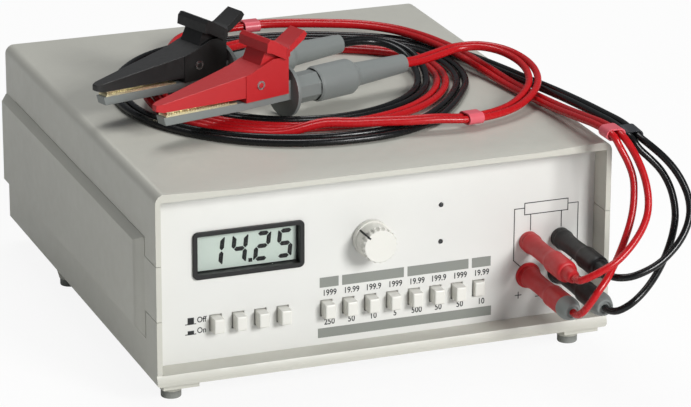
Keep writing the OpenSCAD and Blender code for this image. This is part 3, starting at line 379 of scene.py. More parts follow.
@dataclass(frozen=True)
class Finish:
    """A real material's surface: its colour, gloss, grain and slow change of tone.

    All its patterns lie in object coordinates.

    Args:
        name: Name of the material.
        colour: sRGB hex colour.
        roughness: Roughness of the gloss.
        grain: Size and depth of the moulded, sprayed or blasted grain, in millimetres.
        mottle: Share by which the tone changes slowly over the surface.
        metallic: One for a bare metal.
        ior: Index of refraction; a metal keeps the default.
        mottle_mm: Size of the tone's changes in millimetres.
        scratch: Share by which fine marks change the gloss.
        sheen: Weight of a soft sheen, as on rubber.
        coat: Weight of a clear glossy coat.
        alpha: Less than one for a clear window.
    """

    name: str
    colour: str
    roughness: float
    grain: Spot
    mottle: float = 0.03
    metallic: float = 0.0
    ior: float = 1.5
    mottle_mm: float = 30.0
    scratch: float = 0.06
    sheen: float = 0.0
    coat: float = 0.0
    alpha: float = 1.0

    def build(self) -> bpy.types.Material:
        """Builds the material's nodes.

        Returns:
            The new material.
        """
        material = bpy.data.materials.new(self.name)
        tree = empty_tree(material)
        place = add_node(tree, "ShaderNodeTexCoord").outputs["Object"]
        grain_size, grain_depth = self.grain

        def noise(size: float, detail: float) -> bpy.types.NodeSocket:
            """Adds a noise of a size in millimetres and returns its value."""
            inputs = {"Vector": place, "Scale": 1 / (size * MM), "Detail": detail}
            return add_node(tree, "ShaderNodeTexNoise", inputs).outputs["Fac"]

        ramp = add_node(tree, "ShaderNodeValToRGB", {"Fac": noise(self.mottle_mm, 3)})
        for stop, where, sign in zip(ramp.color_ramp.elements, NOISE_SPAN, (-1, 1)):
            stop.position = where
            share = 1 + sign * self.mottle
            stop.color = [min(1, c * share) for c in linear(self.colour)[:3]] + [1]
        gloss = {
            "Value": noise(grain_size * 6, 4),
            "From Min": NOISE_SPAN[0],
            "From Max": NOISE_SPAN[1],
            "To Min": max(0.02, self.roughness - self.scratch),
            "To Max": min(1, self.roughness + self.scratch),
        }
        relief = {"Height": noise(grain_size, 2), "Strength": 1.0, "Distance": grain_depth * MM}
        surface = {
            "Base Color": ramp.outputs["Color"],
            "Roughness": add_node(tree, "ShaderNodeMapRange", gloss).outputs["Result"],
            "Normal": add_node(tree, "ShaderNodeBump", relief).outputs["Normal"],
            "Metallic": self.metallic,
            "IOR": self.ior,
            "Sheen Weight": self.sheen,
            "Coat Weight": self.coat,
            "Coat Roughness": 0.1,
            "Alpha": self.alpha,
        }
        shader = add_node(tree, "ShaderNodeBsdfPrincipled", surface)
        add_node(tree, "ShaderNodeOutputMaterial", {"Surface": shader.outputs["BSDF"]})
        return material


class Stuff(Enum):
    """The materials of the instrument and its leads."""

    # Moulded ABS with a spark-eroded grain: a warm light grey, matt, with soft highlights
    CASE_ABS = Finish("moulded_grey_abs", "#c3c2b8", 0.42, (0.9, 0.035), 0.02, ior=1.54)
    # Smooth baked enamel on the sheet panels: nearly white, satin
    PANEL_ENAMEL = Finish("satin_panel_enamel", "#dadad6", 0.36, (0.5, 0.004), 0.012)
    # Polished ABS of the button caps and the knob
    CAP_ABS = Finish("smooth_cap_abs", "#dddcd5", 0.34, (0.4, 0.003), 0.015, ior=1.54)
    # Black ABS of the display's frame
    FRAME_ABS = Finish("black_frame_abs", "#050506", 0.46, (0.5, 0.006), ior=1.54)
    # Glass-filled nylon of the black jaw, plugs and sockets
    BLACK_NYLON = Finish("black_nylon", "#070707", 0.5, (0.5, 0.012), 0.08, ior=1.53)
    # The same nylon in red
    RED_NYLON = Finish("red_nylon", "#b9141b", 0.48, (0.5, 0.012), 0.05, ior=1.53)
    # Grey polypropylene of the clips' lower bodies and the plugs' end rings
    GREY_PP = Finish("grey_polypropylene", "#7d8280", 0.42, (0.6, 0.015), ior=1.49)
    # Thermoplastic rubber of the boots: softer and duller than the hard grey pieces
    BOOT_TPE = Finish("grey_thermoplastic_rubber", "#7b807e", 0.55, (0.5, 0.02), sheen=0.1)
    # Silicone sheath of the red leads: a smooth skin with a clear highlight
    RED_SILICONE = Finish("red_silicone_sheath", "#b8141a", 0.26, (0.4, 0.004), 0.06, ior=1.41)
    # Silicone sheath of the black leads
    BLACK_SILICONE = Finish("black_silicone_sheath", "#0e0f10", 0.26, (0.4, 0.004), 0.1, ior=1.41)
    # Shrink sleeve gone pinkish where it is stretched
    PINK_SLEEVE = Finish("pink_shrink_sleeve", "#d9606c", 0.35, (0.5, 0.01), 0.08)
    # Shrink sleeve on the black pair
    BLACK_SLEEVE = Finish("black_shrink_sleeve", "#303236", 0.35, (0.5, 0.01), 0.1)
    # Nitrile foot rubber
    FOOT_RUBBER = Finish("foot_rubber", "#4b4e49", 0.7, (0.5, 0.03), sheen=0.1)
    # Gold plate over brass: warm, bright, with fine wear
    GOLD = Finish("gold_plate", "#e6c67a", 0.26, (0.3, 0.003), 0.06, metallic=1.0, scratch=0.1)
    # Nickel plate over steel
    NICKEL = Finish("nickel_plate", "#c8cacc", 0.25, (0.3, 0.002), 0.04, metallic=1.0, scratch=0.1)
    # Reflective liquid crystal cell: pale grey-green
    LCD_CELL = Finish("liquid_crystal_cell", "#d3e0d6", 0.32, (0.3, 0.001), 0.02)
    # Dark segments of the cell
    LCD_SEGMENT = Finish("liquid_crystal_segments", "#060707", 0.5, (0.3, 0.001))
    # Clear acrylic window
    WINDOW = Finish("acrylic_window", "#101413", 0.05, (2.0, 0.001), ior=1.49, alpha=0.07)
    # Screen ink, dark grey
    DARK_INK = Finish("dark_screen_ink", "#191b1d", 0.55, (0.3, 0.002))
    # Screen ink of the bars
    GREY_INK = Finish("grey_screen_ink", "#848781", 0.5, (0.3, 0.002), 0.015)
    # Smoked lens of the unlit indicator lamps
    LAMP_LENS = Finish("smoked_lens", "#202224", 0.18, (0.4, 0.001), coat=0.5)
    # Fibreglass board under green solder mask
    BOARD = Finish("green_solder_mask", "#2d6b45", 0.35, (0.6, 0.01), 0.06, coat=0.4)
    # Natural PBT of the switch banks
    SWITCH_PBT = Finish("natural_pbt", "#dfddd2", 0.45, (0.5, 0.01))
    # Printed film round the battery cells
    CELL_FILM = Finish("cell_film", "#3f5f8a", 0.3, (0.8, 0.006), coat=0.3)

    @property
    def material(self) -> bpy.types.Material:
        """The built material, made once."""
        return bpy.data.materials.get(self.value.name) or self.value.build()


class Signal(Enum):
    """The two poles of the measurement, with what differs between them."""

    RED = (
        "red", Stuff.RED_SILICONE, Stuff.RED_NYLON, "red_lead_sleeves", Stuff.PINK_SLEEVE,
        (-0.0863, -0.0556), 17.6, 0.0749,
    )
    BLACK = (
        "black", Stuff.BLACK_SILICONE, Stuff.BLACK_NYLON, "black_lead_sleeve", Stuff.BLACK_SLEEVE,
        (-0.1028, -0.0168), 18.5, 0.0909,
    )

    def __init__(
        self,
        colour: str,
        sheath: Stuff,
        nylon: Stuff,
        sleeve: str,
        wrap: Stuff,
        clip_tip: Spot,
        clip_turn: float,
        socket_x: float,
    ) -> None:
        """Names what differs.

        Args:
            colour: The pole's word in the names of nodes and pieces.
            sheath: Silicone of its leads.
            nylon: Hard plastic of its jaw, plugs and sockets.
            sleeve: CAD node of the shrink sleeves that hold its leads together.
            wrap: Finish of the sleeves.
            clip_tip: X and Y of its clip's tip.
            clip_turn: Angle of its clip from +X, in degrees.
            socket_x: X of its sockets.
        """
        self.colour, self.sheath, self.nylon = colour, sheath, nylon
        self.sleeve, self.wrap = sleeve, wrap
        self.clip_tip, self.clip_turn, self.socket_x = clip_tip, clip_turn, socket_x


# Heights of the sockets' axes: sense above, force below
SOCKET_Z = {"sense": 0.0542, "force": 0.0375}


def finish_piece(
    obj: bpy.types.Object,
    stuff: Stuff,
    body: str = BASE,
    replaces: Iterable[str] = (),
    smooth: float = 32,
) -> None:
    """Gives a piece its material, its smooth shading and its body, and hides the nodes it stands
    for.

    Its corner normals are weighted by area, so that flat faces stay flat beside roundings.

    Args:
        obj: The piece.
        stuff: Its material.
        body: The body that it moves with.
        replaces: CAD nodes that it stands for.
        smooth: Angle in degrees past which an edge stays sharp.
    """
    obj.data.materials.clear()
    obj.data.materials.append(stuff.material)
    for face in obj.data.polygons:
        face.use_smooth = True
        face.material_index = 0
    obj.data.set_sharp_from_angle(angle=math.radians(smooth))
    obj.modifiers.new("weights", "WEIGHTED_NORMAL").keep_sharp = True
    mesh = plain_mesh(obj)
    obj.modifiers.clear()
    obj.data = mesh
    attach(obj, body)
    if replaces:
        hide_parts(*replaces)
    LOG.info("built %s", obj.name)


def moulded(
    node: str, stuff: Stuff, edge: float, body: str = BASE, segments: int = 2
) -> None:
    """Shows a CAD node by a copy with rounded edges.

    Args:
        node: Name of the CAD node.
        stuff: Its material.
        edge: Width of the rounding.
        body: The body that it moves with.
        segments: Number of faces across a rounding.
    """
    copy = rounded(node, cleaned(node), edge, segments=segments)
    finish_piece(copy, stuff, body, (node,))


def dress(node: str, stuff: Stuff) -> None:
    """Gives its material to a CAD node that is shown as it is.

    Args:
        node: Name of the CAD node.
        stuff: Its material.
    """
    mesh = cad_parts[node].data
    mesh.materials.clear()
    mesh.materials.append(stuff.material)
    LOG.info("dressed %s", node)


# Camera, light and floor


@dataclass
class Studio:
    """Camera at the photograph's place, soft lamps, and a pale floor."""

    azimuth: float = -20.887
    elevation: float = 19.395
    roll: float = 0.229
    distance: float = 1.725967
    target: Point = (0.025417, 0.0, 0.04299)
    lens: float = 185.12
    sensor: float = 36.0
    floor_half: float = 6.0
    floor_glow: float = 0.9
    lit_height: float = 0.06
    clip: Spot = (0.05, 50)
    floor_tone: str = "#f4f4f2"
    world_tone: str = "#727477"
    # Name, place, side and power in watts
    lamps: tuple[tuple[str, Point, float, float], ...] = (
        ("key_lamp", (0.8, -2.1, 1.05), 0.7, 50),
        ("top_lamp", (0.1, 0.7, 1.9), 1.0, 16.5),
        ("left_lamp", (-1.9, -1.0, 0.9), 0.5, 0.6),
    )

    def camera(self) -> None:
        """Makes the camera from its fitted angles."""
        a, e, r = (math.radians(v) for v in (self.azimuth, self.elevation, self.roll))
        back = Vector((math.sin(a) * math.cos(e), -math.cos(a) * math.cos(e), math.sin(e)))
        right = Vector((0, 0, 1)).cross(back).normalized()
        up = back.cross(right)
        c, s = math.cos(r), math.sin(r)
        right, up = c * right + s * up, c * up - s * right
        data = bpy.data.cameras.new("camera")
        data.lens = self.lens
        data.sensor_width = self.sensor
        data.sensor_fit = "HORIZONTAL"
        data.clip_start, data.clip_end = self.clip
        obj = new_object("camera", data)
        turn = Matrix((right, up, back)).transposed().to_4x4()
        obj.matrix_world = Matrix.Translation(Vector(self.target) + back * self.distance) @ turn
        bpy.context.scene.camera = obj

    def lamp(self, name: str, place: Point, size: float, power: float) -> None:
        """Adds a square soft lamp that looks at the instrument.

        Args:
            name: Name of the lamp.
            place: Its place.
            size: Side of the lamp.
            power: Its power in watts.
        """
        data = bpy.data.lights.new(name, "AREA")
        data.shape = "SQUARE"
        data.size = size
        data.energy = power
        obj = new_object(name, data)
        obj.location = place
        obj.rotation_mode = "QUATERNION"
        away = Vector(place) - Vector((0, 0, self.lit_height))
        obj.rotation_quaternion = away.to_track_quat("Z", "Y")

    def seen_mask(self, tree: bpy.types.NodeTree) -> bpy.types.NodeSocket:
        """Adds a node that gives one for rays from the camera, and returns its socket."""
        return add_node(tree, "ShaderNodeLightPath").outputs["Is Camera Ray"]

    def floor(self) -> None:
        """Makes the floor: painted for the light, and nearly white where it is seen."""
        bm = bmesh.new()
        h = self.floor_half
        bm.faces.new([bm.verts.new(p) for p in ((-h, -h, 0), (h, -h, 0), (h, h, 0), (-h, h, 0))])
        floor = from_bmesh("floor", bm)
        material = bpy.data.materials.new("pale_floor")
        tree = empty_tree(material)
        paint = add_node(tree, "ShaderNodeBsdfDiffuse", {"Color": linear(self.floor_tone)})
        glow = add_node(tree, "ShaderNodeEmission", {"Color": (1, 1, 1, 1), "Strength": 1.0})
        factors = {0: self.seen_mask(tree), 1: self.floor_glow}
        share = add_node(tree, "ShaderNodeMath", factors, operation="MULTIPLY")
        parts = {0: share.outputs[0], 1: paint.outputs["BSDF"], 2: glow.outputs["Emission"]}
        mixed = add_node(tree, "ShaderNodeMixShader", parts)
        add_node(tree, "ShaderNodeOutputMaterial", {"Surface": mixed.outputs[0]})
        floor.data.materials.append(material)

    def world(self) -> None:
        """Makes the world: a plain grey for the light, and white where it is seen."""
        world = bpy.data.worlds.new("pale_world")
        bpy.context.scene.world = world
        tree = empty_tree(world)
        tones = {0: self.seen_mask(tree), 6: linear(self.world_tone), 7: (1, 1, 1, 1)}
        colour = add_node(tree, "ShaderNodeMix", tones, data_type="RGBA")
        source = {"Color": colour.outputs[2], "Strength": 1.0}
        light = add_node(tree, "ShaderNodeBackground", source)
        add_node(tree, "ShaderNodeOutputWorld", {"Surface": light.outputs[0]})

    def build(self) -> None:
        """Sets the view transform and makes the camera, the lamps, the floor and the world."""
        bpy.context.scene.view_settings.view_transform = "Standard"
        self.camera()
        for lamp in self.lamps:
            self.lamp(*lamp)
        self.floor()
        self.world()
        LOG.info("built the studio")


# Leads


def swept_round() -> Growth:
    """Builds the node tree that sweeps a round tube with closed ends along a line of edges.

    Returns:
        The tree.
    """
    sweep = Growth("swept_round", {"Radius": "Float", "Sides": "Int"})
    entry = sweep.entry
    line = sweep.add("GeometryNodeMeshToCurve", {"Mesh": entry["Geometry"]})
    section = {"Resolution": entry["Sides"], "Radius": entry["Radius"]}
    ring = sweep.add("GeometryNodeCurvePrimitiveCircle", section)
    parts = {"Curve": line["Curve"], "Profile Curve": ring["Curve"], "Fill Caps": True}
    sweep.close(sweep.add("GeometryNodeCurveToMesh", parts)["Mesh"])
    return sweep


@dataclass
class LeadPair:
    """Two silicone conductors side by side from a clip's boot to two plugs.

    The sizes and the points are those of the source. The points are in millimetres, and the
    heights of lead_in and lead_out count from the case top.

    Args:
        signal: Pole of the pair.
        sweep: The node tree that makes the tubes.
        winding: Rows of angle, rings outwards, layers upwards and spread of the strands.
        lead_in: Points from the boot to the winding.
        lead_out: Points from the winding to the sleeve.
        routes: Points from the sleeve to the plug, for the sense and the force lead.
    """

    signal: Signal
    sweep: Growth
    winding: list[tuple[float, float, float, float]]
    lead_in: list[Point]
    lead_out: list[Point]
    routes: tuple[list[Point], list[Point]]
    diameter: float = 0.0034
    sides: int = 14
    ring_gap: float = 0.0022
    strand_half: float = 0.0021
    top: float = 0.103
    lift: float = 0.002
    layer: float = 0.0042
    pitch: float = 0.0094
    centre: Spot = (0.004, 0.006)
    half_a: float = 0.061
    half_b: float = 0.057
    turn: float = 30.0
    step: float = 15.0
    boot_end: float = 0.1427
    boot_height: float = 0.1152
    plug_end: float = -0.159

    def looked_up(self, angle: float) -> Sequence[float]:
        """Reads the winding's table at an angle, eased from row to row.

        Args:
            angle: Turned angle in degrees.

        Returns:
            Rings outwards, layers upwards and spread.
        """
        for low, high in zip(self.winding, self.winding[1:]):
            if angle <= high[0]:
                k = (angle - low[0]) / (high[0] - low[0])
                eased = k * k * (3 - 2 * k)
                return [a + (b - a) * eased for a, b in zip(low[1:], high[1:])]
        return self.winding[-1][1:]

    def placed(self, rows: Sequence[Point], height: float = 0.0) -> list[Vector]:
        """Places points given in millimetres, raised by a height in metres."""
        return [Vector((x * MM, y * MM, height + z * MM)) for x, y, z in rows]

    def middle(self) -> list[tuple[Vector, float]]:
        """The pair's middle line from the boot to the sleeve, with the strands' spread.

        Returns:
            Points and spreads.
        """
        t = math.radians(self.signal.clip_turn)
        axis = Vector((math.cos(t), math.sin(t), 0))
        tip = Vector((*self.signal.clip_tip, self.boot_height))
        line = [(tip + axis * (self.boot_end + more), 1.0) for more in (0, self.diameter)]
        line += [(place, 1.0) for place in self.placed(self.lead_in, self.top)]
        first, last = self.winding[0][0], self.winding[-1][0]
        count = round((last - first) / self.step)
        c, s = math.cos(math.radians(self.turn)), math.sin(math.radians(self.turn))
        for i in range(count + 1):
            angle = first + i * (last - first) / count
            out, up, spread = self.looked_up(angle)
            x = (self.half_a + out * self.pitch) * math.cos(math.radians(angle))
            y = -(self.half_b + out * self.pitch) * math.sin(math.radians(angle))
            spot = self.centre[0] + x * c - y * s, self.centre[1] + x * s + y * c
            line.append((Vector((*spot, self.top + self.lift + up * self.layer)), spread))
        return line + [(place, 1.0) for place in self.placed(self.lead_out, self.top)]

    def strand(self, side: int) -> list[Vector]:
        """One strand's points, to one side of the middle line.

        Args:
            side: 1 or -1.

        Returns:
            The points from the boot to the sleeve.
        """
        line = self.middle()
        points = []
        for i, (place, spread) in enumerate(line):
            along = line[min(i + 1, len(line) - 1)][0] - line[max(i - 1, 0)][0]
            along.z = 0
            along.normalize()
            points.append(place + Vector((-along.y, along.x, 0)) * side * self.strand_half * spread)
        return points

    def smooth(self, points: list[Vector]) -> list[Vector]:
        """Draws a centripetal Catmull-Rom curve through points, with rings about evenly apart.

        Args:
            points: Points of the route.

        Returns:
            The dense points.
        """
        ends = [points[0] * 2 - points[1], *points, points[-1] * 2 - points[-2]]
        line = []
        for p0, p1, p2, p3 in zip(ends, ends[1:], ends[2:], ends[3:]):
            d0, d1, d2 = ((b - a).length ** 0.5 for a, b in ((p0, p1), (p1, p2), (p2, p3)))
            m1 = ((p1 - p0) / d0 - (p2 - p0) / (d0 + d1) + (p2 - p1) / d1) * d1
            m2 = ((p2 - p1) / d1 - (p3 - p1) / (d1 + d2) + (p3 - p2) / d2) * d1
            n = max(2, round((p2 - p1).length / self.ring_gap))
            for u in (i / n for i in range(n)):
                near = p1 * (2 * u**3 - 3 * u**2 + 1) + m1 * (u**3 - 2 * u**2 + u)
                line.append(near + p2 * (3 * u**2 - 2 * u**3) + m2 * (u**3 - u**2))
        return line + [points[-1]]

    def tube(self, name: str, line: list[Vector]) -> bpy.types.Object:
        """Sweeps a round tube with closed ends along a line.

        Args:
            name: Name of the object.
            line: The line's points.

        Returns:
            The tube as one plain mesh.
        """
        route = bpy.data.meshes.new(name + "_route")
        route.from_pydata(line, [(i, i + 1) for i in range(len(line) - 1)], [])
        sheath = self.signal.sheath.material
        values = {"Radius": self.diameter / 2, "Sides": self.sides, "Finish": sheath}
        return joined(name, [self.sweep.grow(name + "_swept", route, values)], outward=True)

    def build(self) -> None:
        """Makes both conductors as tubes of their real length, and dresses their sleeve."""
        colour = self.signal.colour
        for (kind, height), side, route in zip(SOCKET_Z.items(), (1, -1), self.routes):
            into_plug = [
                Vector((self.signal.socket_x, y, height))
                for y in (self.plug_end - self.diameter, self.plug_end)
            ]
            line = self.smooth(self.strand(side) + self.placed(route) + into_plug)
            line.reverse()
            obj = self.tube(f"{colour}_{kind}_lead", line)
            nodes = (f"{colour}_{kind}_coil", f"{colour}_{kind}_drop")
            finish_piece(obj, self.signal.sheath, replaces=nodes, smooth=60)
        dress(self.signal.sleeve, self.signal.wrap)


def lead_pairs() -> list[LeadPair]:
    """Both pairs of leads with the source's routes.

    Returns:
        The red and the black pair.
    """
    sweep = swept_round()
    red = LeadPair(
        Signal.RED,
        sweep,
        winding=[
            (130, 1.8, 1, 1), (148, 1.9, 0, 1), (192, 1.9, 0, 1), (204, 1.9, 1, 1),
            (238, 0, 1, 1), (298, 0, 1, 1), (314, 0, 0, 1), (338, 0, 0, 1), (374, 1, 0, 1),
            (470, 0.95, 0, 1), (598, 1, 0, 1), (610, 1.1, 1, 1), (642, 3, 1, 1), (668, 3, 1, 1),
        ],
        lead_in=[
            (59, -9.5, 12), (70, -5, 12.5), (82, 0, 13), (93, -2, 13.5), (101, -9, 13),
            (105.5, -22, 12), (105.5, -37, 10.5), (101, -51, 8.5), (92, -63, 6.5), (81, -72, 5),
            (67, -78, 4.5), (53, -81, 5.2), (40, -80, 6.2), (27, -78, 6.2), (14, -75, 6.2),
            (1, -72, 6.2),
        ],
        lead_out=[
            (53, 79, 6.2), (64, 72, 6.2), (74, 61, 6.2), (81, 47, 6.2), (86, 30, 6.2),
            (90, 11, 5.8), (94, -9, 4), (97, -31, 2.6), (99.5, -55, 3), (101.5, -80, 4.5),
            (102.5, -103, 7), (103.5, -123, 9), (104.3, -139, 8.6),
        ],
        routes=(
            [
                (108.2, -143.5, 108), (110, -147.5, 103), (111.2, -151.5, 97.5),
                (111.6, -155, 92), (111.2, -158, 86.5), (109.5, -161, 81), (106, -164, 76),
                (101.5, -166.5, 71.5), (96.5, -168.5, 67.5), (90.5, -170, 63.5),
                (84.5, -170, 60.5), (79, -168.5, 57.5), (75.6, -165.5, 55),
            ],
            [
                (104.8, -141.5, 106), (107.2, -144.5, 100), (108.3, -147.5, 94),
                (107.8, -150, 87.5), (106.3, -152.5, 81), (103.8, -155, 75), (100.3, -158, 69.5),
                (96.2, -161.5, 64.5), (91.5, -165.5, 60), (86.3, -169, 55), (81, -171, 50),
                (77.2, -170.5, 44.5), (75.2, -167, 39.6),
            ],
        ),
    )
    black = LeadPair(
        Signal.BLACK,
        sweep,
        winding=[
            (50, 0, 0, 1), (252, 0, 0, 1), (300, 1, 0, 1), (330, 1, 0, 1), (370, 2, 0, 1),
            (425, 2, 0, 1), (470, 3, 0, 1.8), (500, 3, 0, 1.9), (545, 3, 0, 1.1), (622, 3, 0, 1),
            (662, 2, 0, 1), (680, 2, 0, 1),
        ],
        lead_in=[
            (42, 31, 12), (51, 31.5, 11), (59, 28, 9.5), (64, 20, 7.5), (65, 11, 5.5),
            (64, 1, 3.5),
        ],
        lead_out=[
            (56, 68, 2), (69, 60, 2), (81, 47, 2), (91, 31, 2), (98, 12, 2), (103, -8, 2.2),
            (106, -30, 3.2), (109, -54, 4.6), (111, -78, 6), (112.5, -100, 7), (113.8, -120, 7.5),
            (114.2, -136.5, 6),
        ],
        routes=(
            [
                (119, -142, 106.5), (123, -147, 102.5), (126.8, -151, 97.5), (129.5, -154.5, 92),
                (131, -158, 86), (130.5, -161.5, 80), (127.8, -164.5, 74), (123.3, -167, 68.5),
                (117.5, -169, 63.8), (111, -170.5, 60), (104, -171, 57.3), (97.8, -170, 55.4),
                (93, -166.5, 54.4),
            ],
            [
                (114.8, -139.5, 104.6), (119.3, -142, 100), (123.5, -144.5, 95),
                (126.3, -147.5, 89), (127.5, -150.5, 82.5), (127.2, -153.5, 75.5),
                (124.8, -156.5, 68.5), (120.8, -160, 62), (115.8, -163.5, 56), (110, -167, 50.8),
                (103.5, -170, 46.3), (97.5, -171, 42.5), (93, -168, 39),
            ],
        ),
    )
    return [red, black]


# Case


@dataclass
class Case:
    """Moulded shells, side plates, panels, feet and screws."""

    shells: tuple[str, ...] = ("bottom_case", "top_case", "left_side_panel", "right_side_panel")
    panels: tuple[str, ...] = ("front_panel", "rear_panel")
    shell_edge: float = 0.0006
    panel_edge: float = 0.00025
    foot_edge: float = 0.0005

    def build(self) -> None:
        """Rounds the edges of the outer pieces and dresses them."""
        for node in self.shells:
            moulded(node, Stuff.CASE_ABS, self.shell_edge)
        for node in self.panels:
            moulded(node, Stuff.PANEL_ENAMEL, self.panel_edge)
        moulded("rubber_feet", Stuff.FOOT_RUBBER, self.foot_edge)
        dress("screws", Stuff.NICKEL)


# Panel prints


@dataclass
class PanelPrint:
    """Screen printed bars, lines, plain numbers and signs on the front panel.

    Places are X and height above the standing surface, in millimetres like all sizes but the
    ink's lift, thickness and weight. A figure's height is figure_share of the text size.
    """

    lift: float = 0.00004
    thick: float = 0.00006
    weight: float = 0.00005
    line: float = 0.4
    ranges: tuple[str, ...] = ("1999", "19.99", "199.9", "1999", "19.99", "199.9", "1999", "19.99")
    currents: tuple[str, ...] = ("250", "50", "10", "5", "500", "50", "50", "10")
    first_x: float = -23.4
    pitch: float = 10.7
    range_z: float = 41.75
    current_z: float = 27.6
    text_height: float = 2.8
    text_width: float = 0.86
    figure_share: float = 0.69
    sign_x: float = -87.0
    sign_height: float = 2.7
    upper_bars: tuple[Spot, ...] = ((-28.2, -19.0), (-17.3, 12.9), (14.7, 44.9), (46.6, 56.0))
    upper_z: Spot = (44.6, 49.4)
    lower_bar: tuple[float, float, float, float] = (-29.0, 56.6, 20.2, 24.8)

    def plate(self, x0: float, x1: float, z0: float, z1: float) -> bpy.types.Object:
        """Makes a thin rectangle of ink.

        Args:
            x0: Left edge.
            x1: Right edge.
            z0: Lower edge.
            z1: Upper edge.

        Returns:
            The ink plate.
        """
        corners = [(x0, z0), (x1, z0), (x1, z1), (x0, z1)]
        front, back = PANEL_Y - self.lift - self.thick, PANEL_Y - self.lift / 2
        return thin_plates("ink", [corners], front, back)

    def stroke(self, *points: Spot) -> list[bpy.types.Object]:
        """Draws a fine line through points.

        Args:
            points: X and height of each point.

        Returns:
            One ink piece for each leg.
        """
        pieces = []
        half = self.line / 2
        for (x0, z0), (x1, z1) in zip(points, points[1:]):
            leg = self.plate(-half, math.hypot(x1 - x0, z1 - z0) + half, -half, half)
            turn = Matrix.Rotation(-math.atan2(z1 - z0, x1 - x0), 4, "Y")
            leg.data.transform(Matrix.Translation((x0 * MM, 0, z0 * MM)) @ turn)
            pieces.append(leg)
        return pieces

    def words(
        self, text: str, x: float, z: float, height: float, align: str = "CENTER"
    ) -> bpy.types.Object:
        """Sets plain figures or signs on the panel.

        Args:
            text: The figures.
            x: Middle, or left edge.
            z: Middle height.
            height: Height of a figure.
            align: Blender's word for the alignment.

        Returns:
            The ink of the figures as a mesh.
        """
        curve = bpy.data.curves.new("figures", "FONT")
        curve.body = text
        curve.align_x = align
        curve.align_y = "CENTER"
        curve.size = height * MM / self.figure_share
        curve.extrude = self.thick / 2
        curve.offset = self.weight
        curve.resolution_u = 3
        obj = new_object("figures", curve)
        place = facing_front(x * MM, PANEL_Y - self.lift - self.thick / 2, z * MM)
        obj.matrix_world = place @ Matrix.Diagonal((self.text_width, 1, 1, 1))
        return baked(obj, "figures_mesh")

    def bars(self) -> None:
        """Prints the grey bars over and under the range buttons."""
        parts = [self.plate(x0, x1, *self.upper_z) for x0, x1 in self.upper_bars]
        parts.append(self.plate(*self.lower_bar))
        finish_piece(joined("printed_bars", parts), Stuff.GREY_INK)

    def figures(self) -> None:
        """Prints the range and current figures, the switch signs and the polarity signs."""
        parts = []
        for i, (above, below) in enumerate(zip(self.ranges, self.currents)):
            x = self.first_x + i * self.pitch
            parts.append(self.words(above, x, self.range_z, self.text_height))
            parts.append(self.words(below, x, self.current_z, self.text_height))
        # Each word of the switch, and its button drawn from the side: out, and pressed
        for text, z, base, high in (("Off", 36.8, 35.4, 2.9), ("On", 31.7, 30.5, 1.5)):
            parts.append(self.words(text, self.sign_x, z, self.sign_height, "LEFT"))
            parts.append(self.plate(-91.4, -88.4, base, base + high))
            parts.append(self.plate(-92.6, -87.4, base - self.line, base))
        # Plus under the red sockets, minus under the black ones
        parts += self.stroke((68.7, 28.1), (71.7, 28.1)) + self.stroke((70.2, 26.6), (70.2, 29.6))
        parts += self.stroke((79.0, 26.4), (81.4, 26.4))
        finish_piece(joined("printed_figures", parts), Stuff.DARK_INK)

    def circuit(self) -> None:
        """Prints the lines from the box to the four sockets."""
        lines = [
            [(72.6, 67.4), (94.4, 67.4), (94.4, 73.0), (72.6, 73.0), (72.6, 67.4)],
            [(72.6, 70.7), (67.5, 70.7), (67.5, 45.5), (71.3, 41.8)],
            [(75.7, 67.4), (75.7, 59.6)],
            [(91.2, 67.4), (91.2, 59.6)],
            [(94.4, 70.5), (99.6, 70.5), (99.6, 45.0), (95.6, 41.4)],
        ]
        parts = [piece for points in lines for piece in self.stroke(*points)]
        finish_piece(joined("printed_circuit", parts), Stuff.DARK_INK)

    def build(self) -> None:
        """Prints everything."""
        self.bars()
        self.figures()
        self.circuit()


# Display


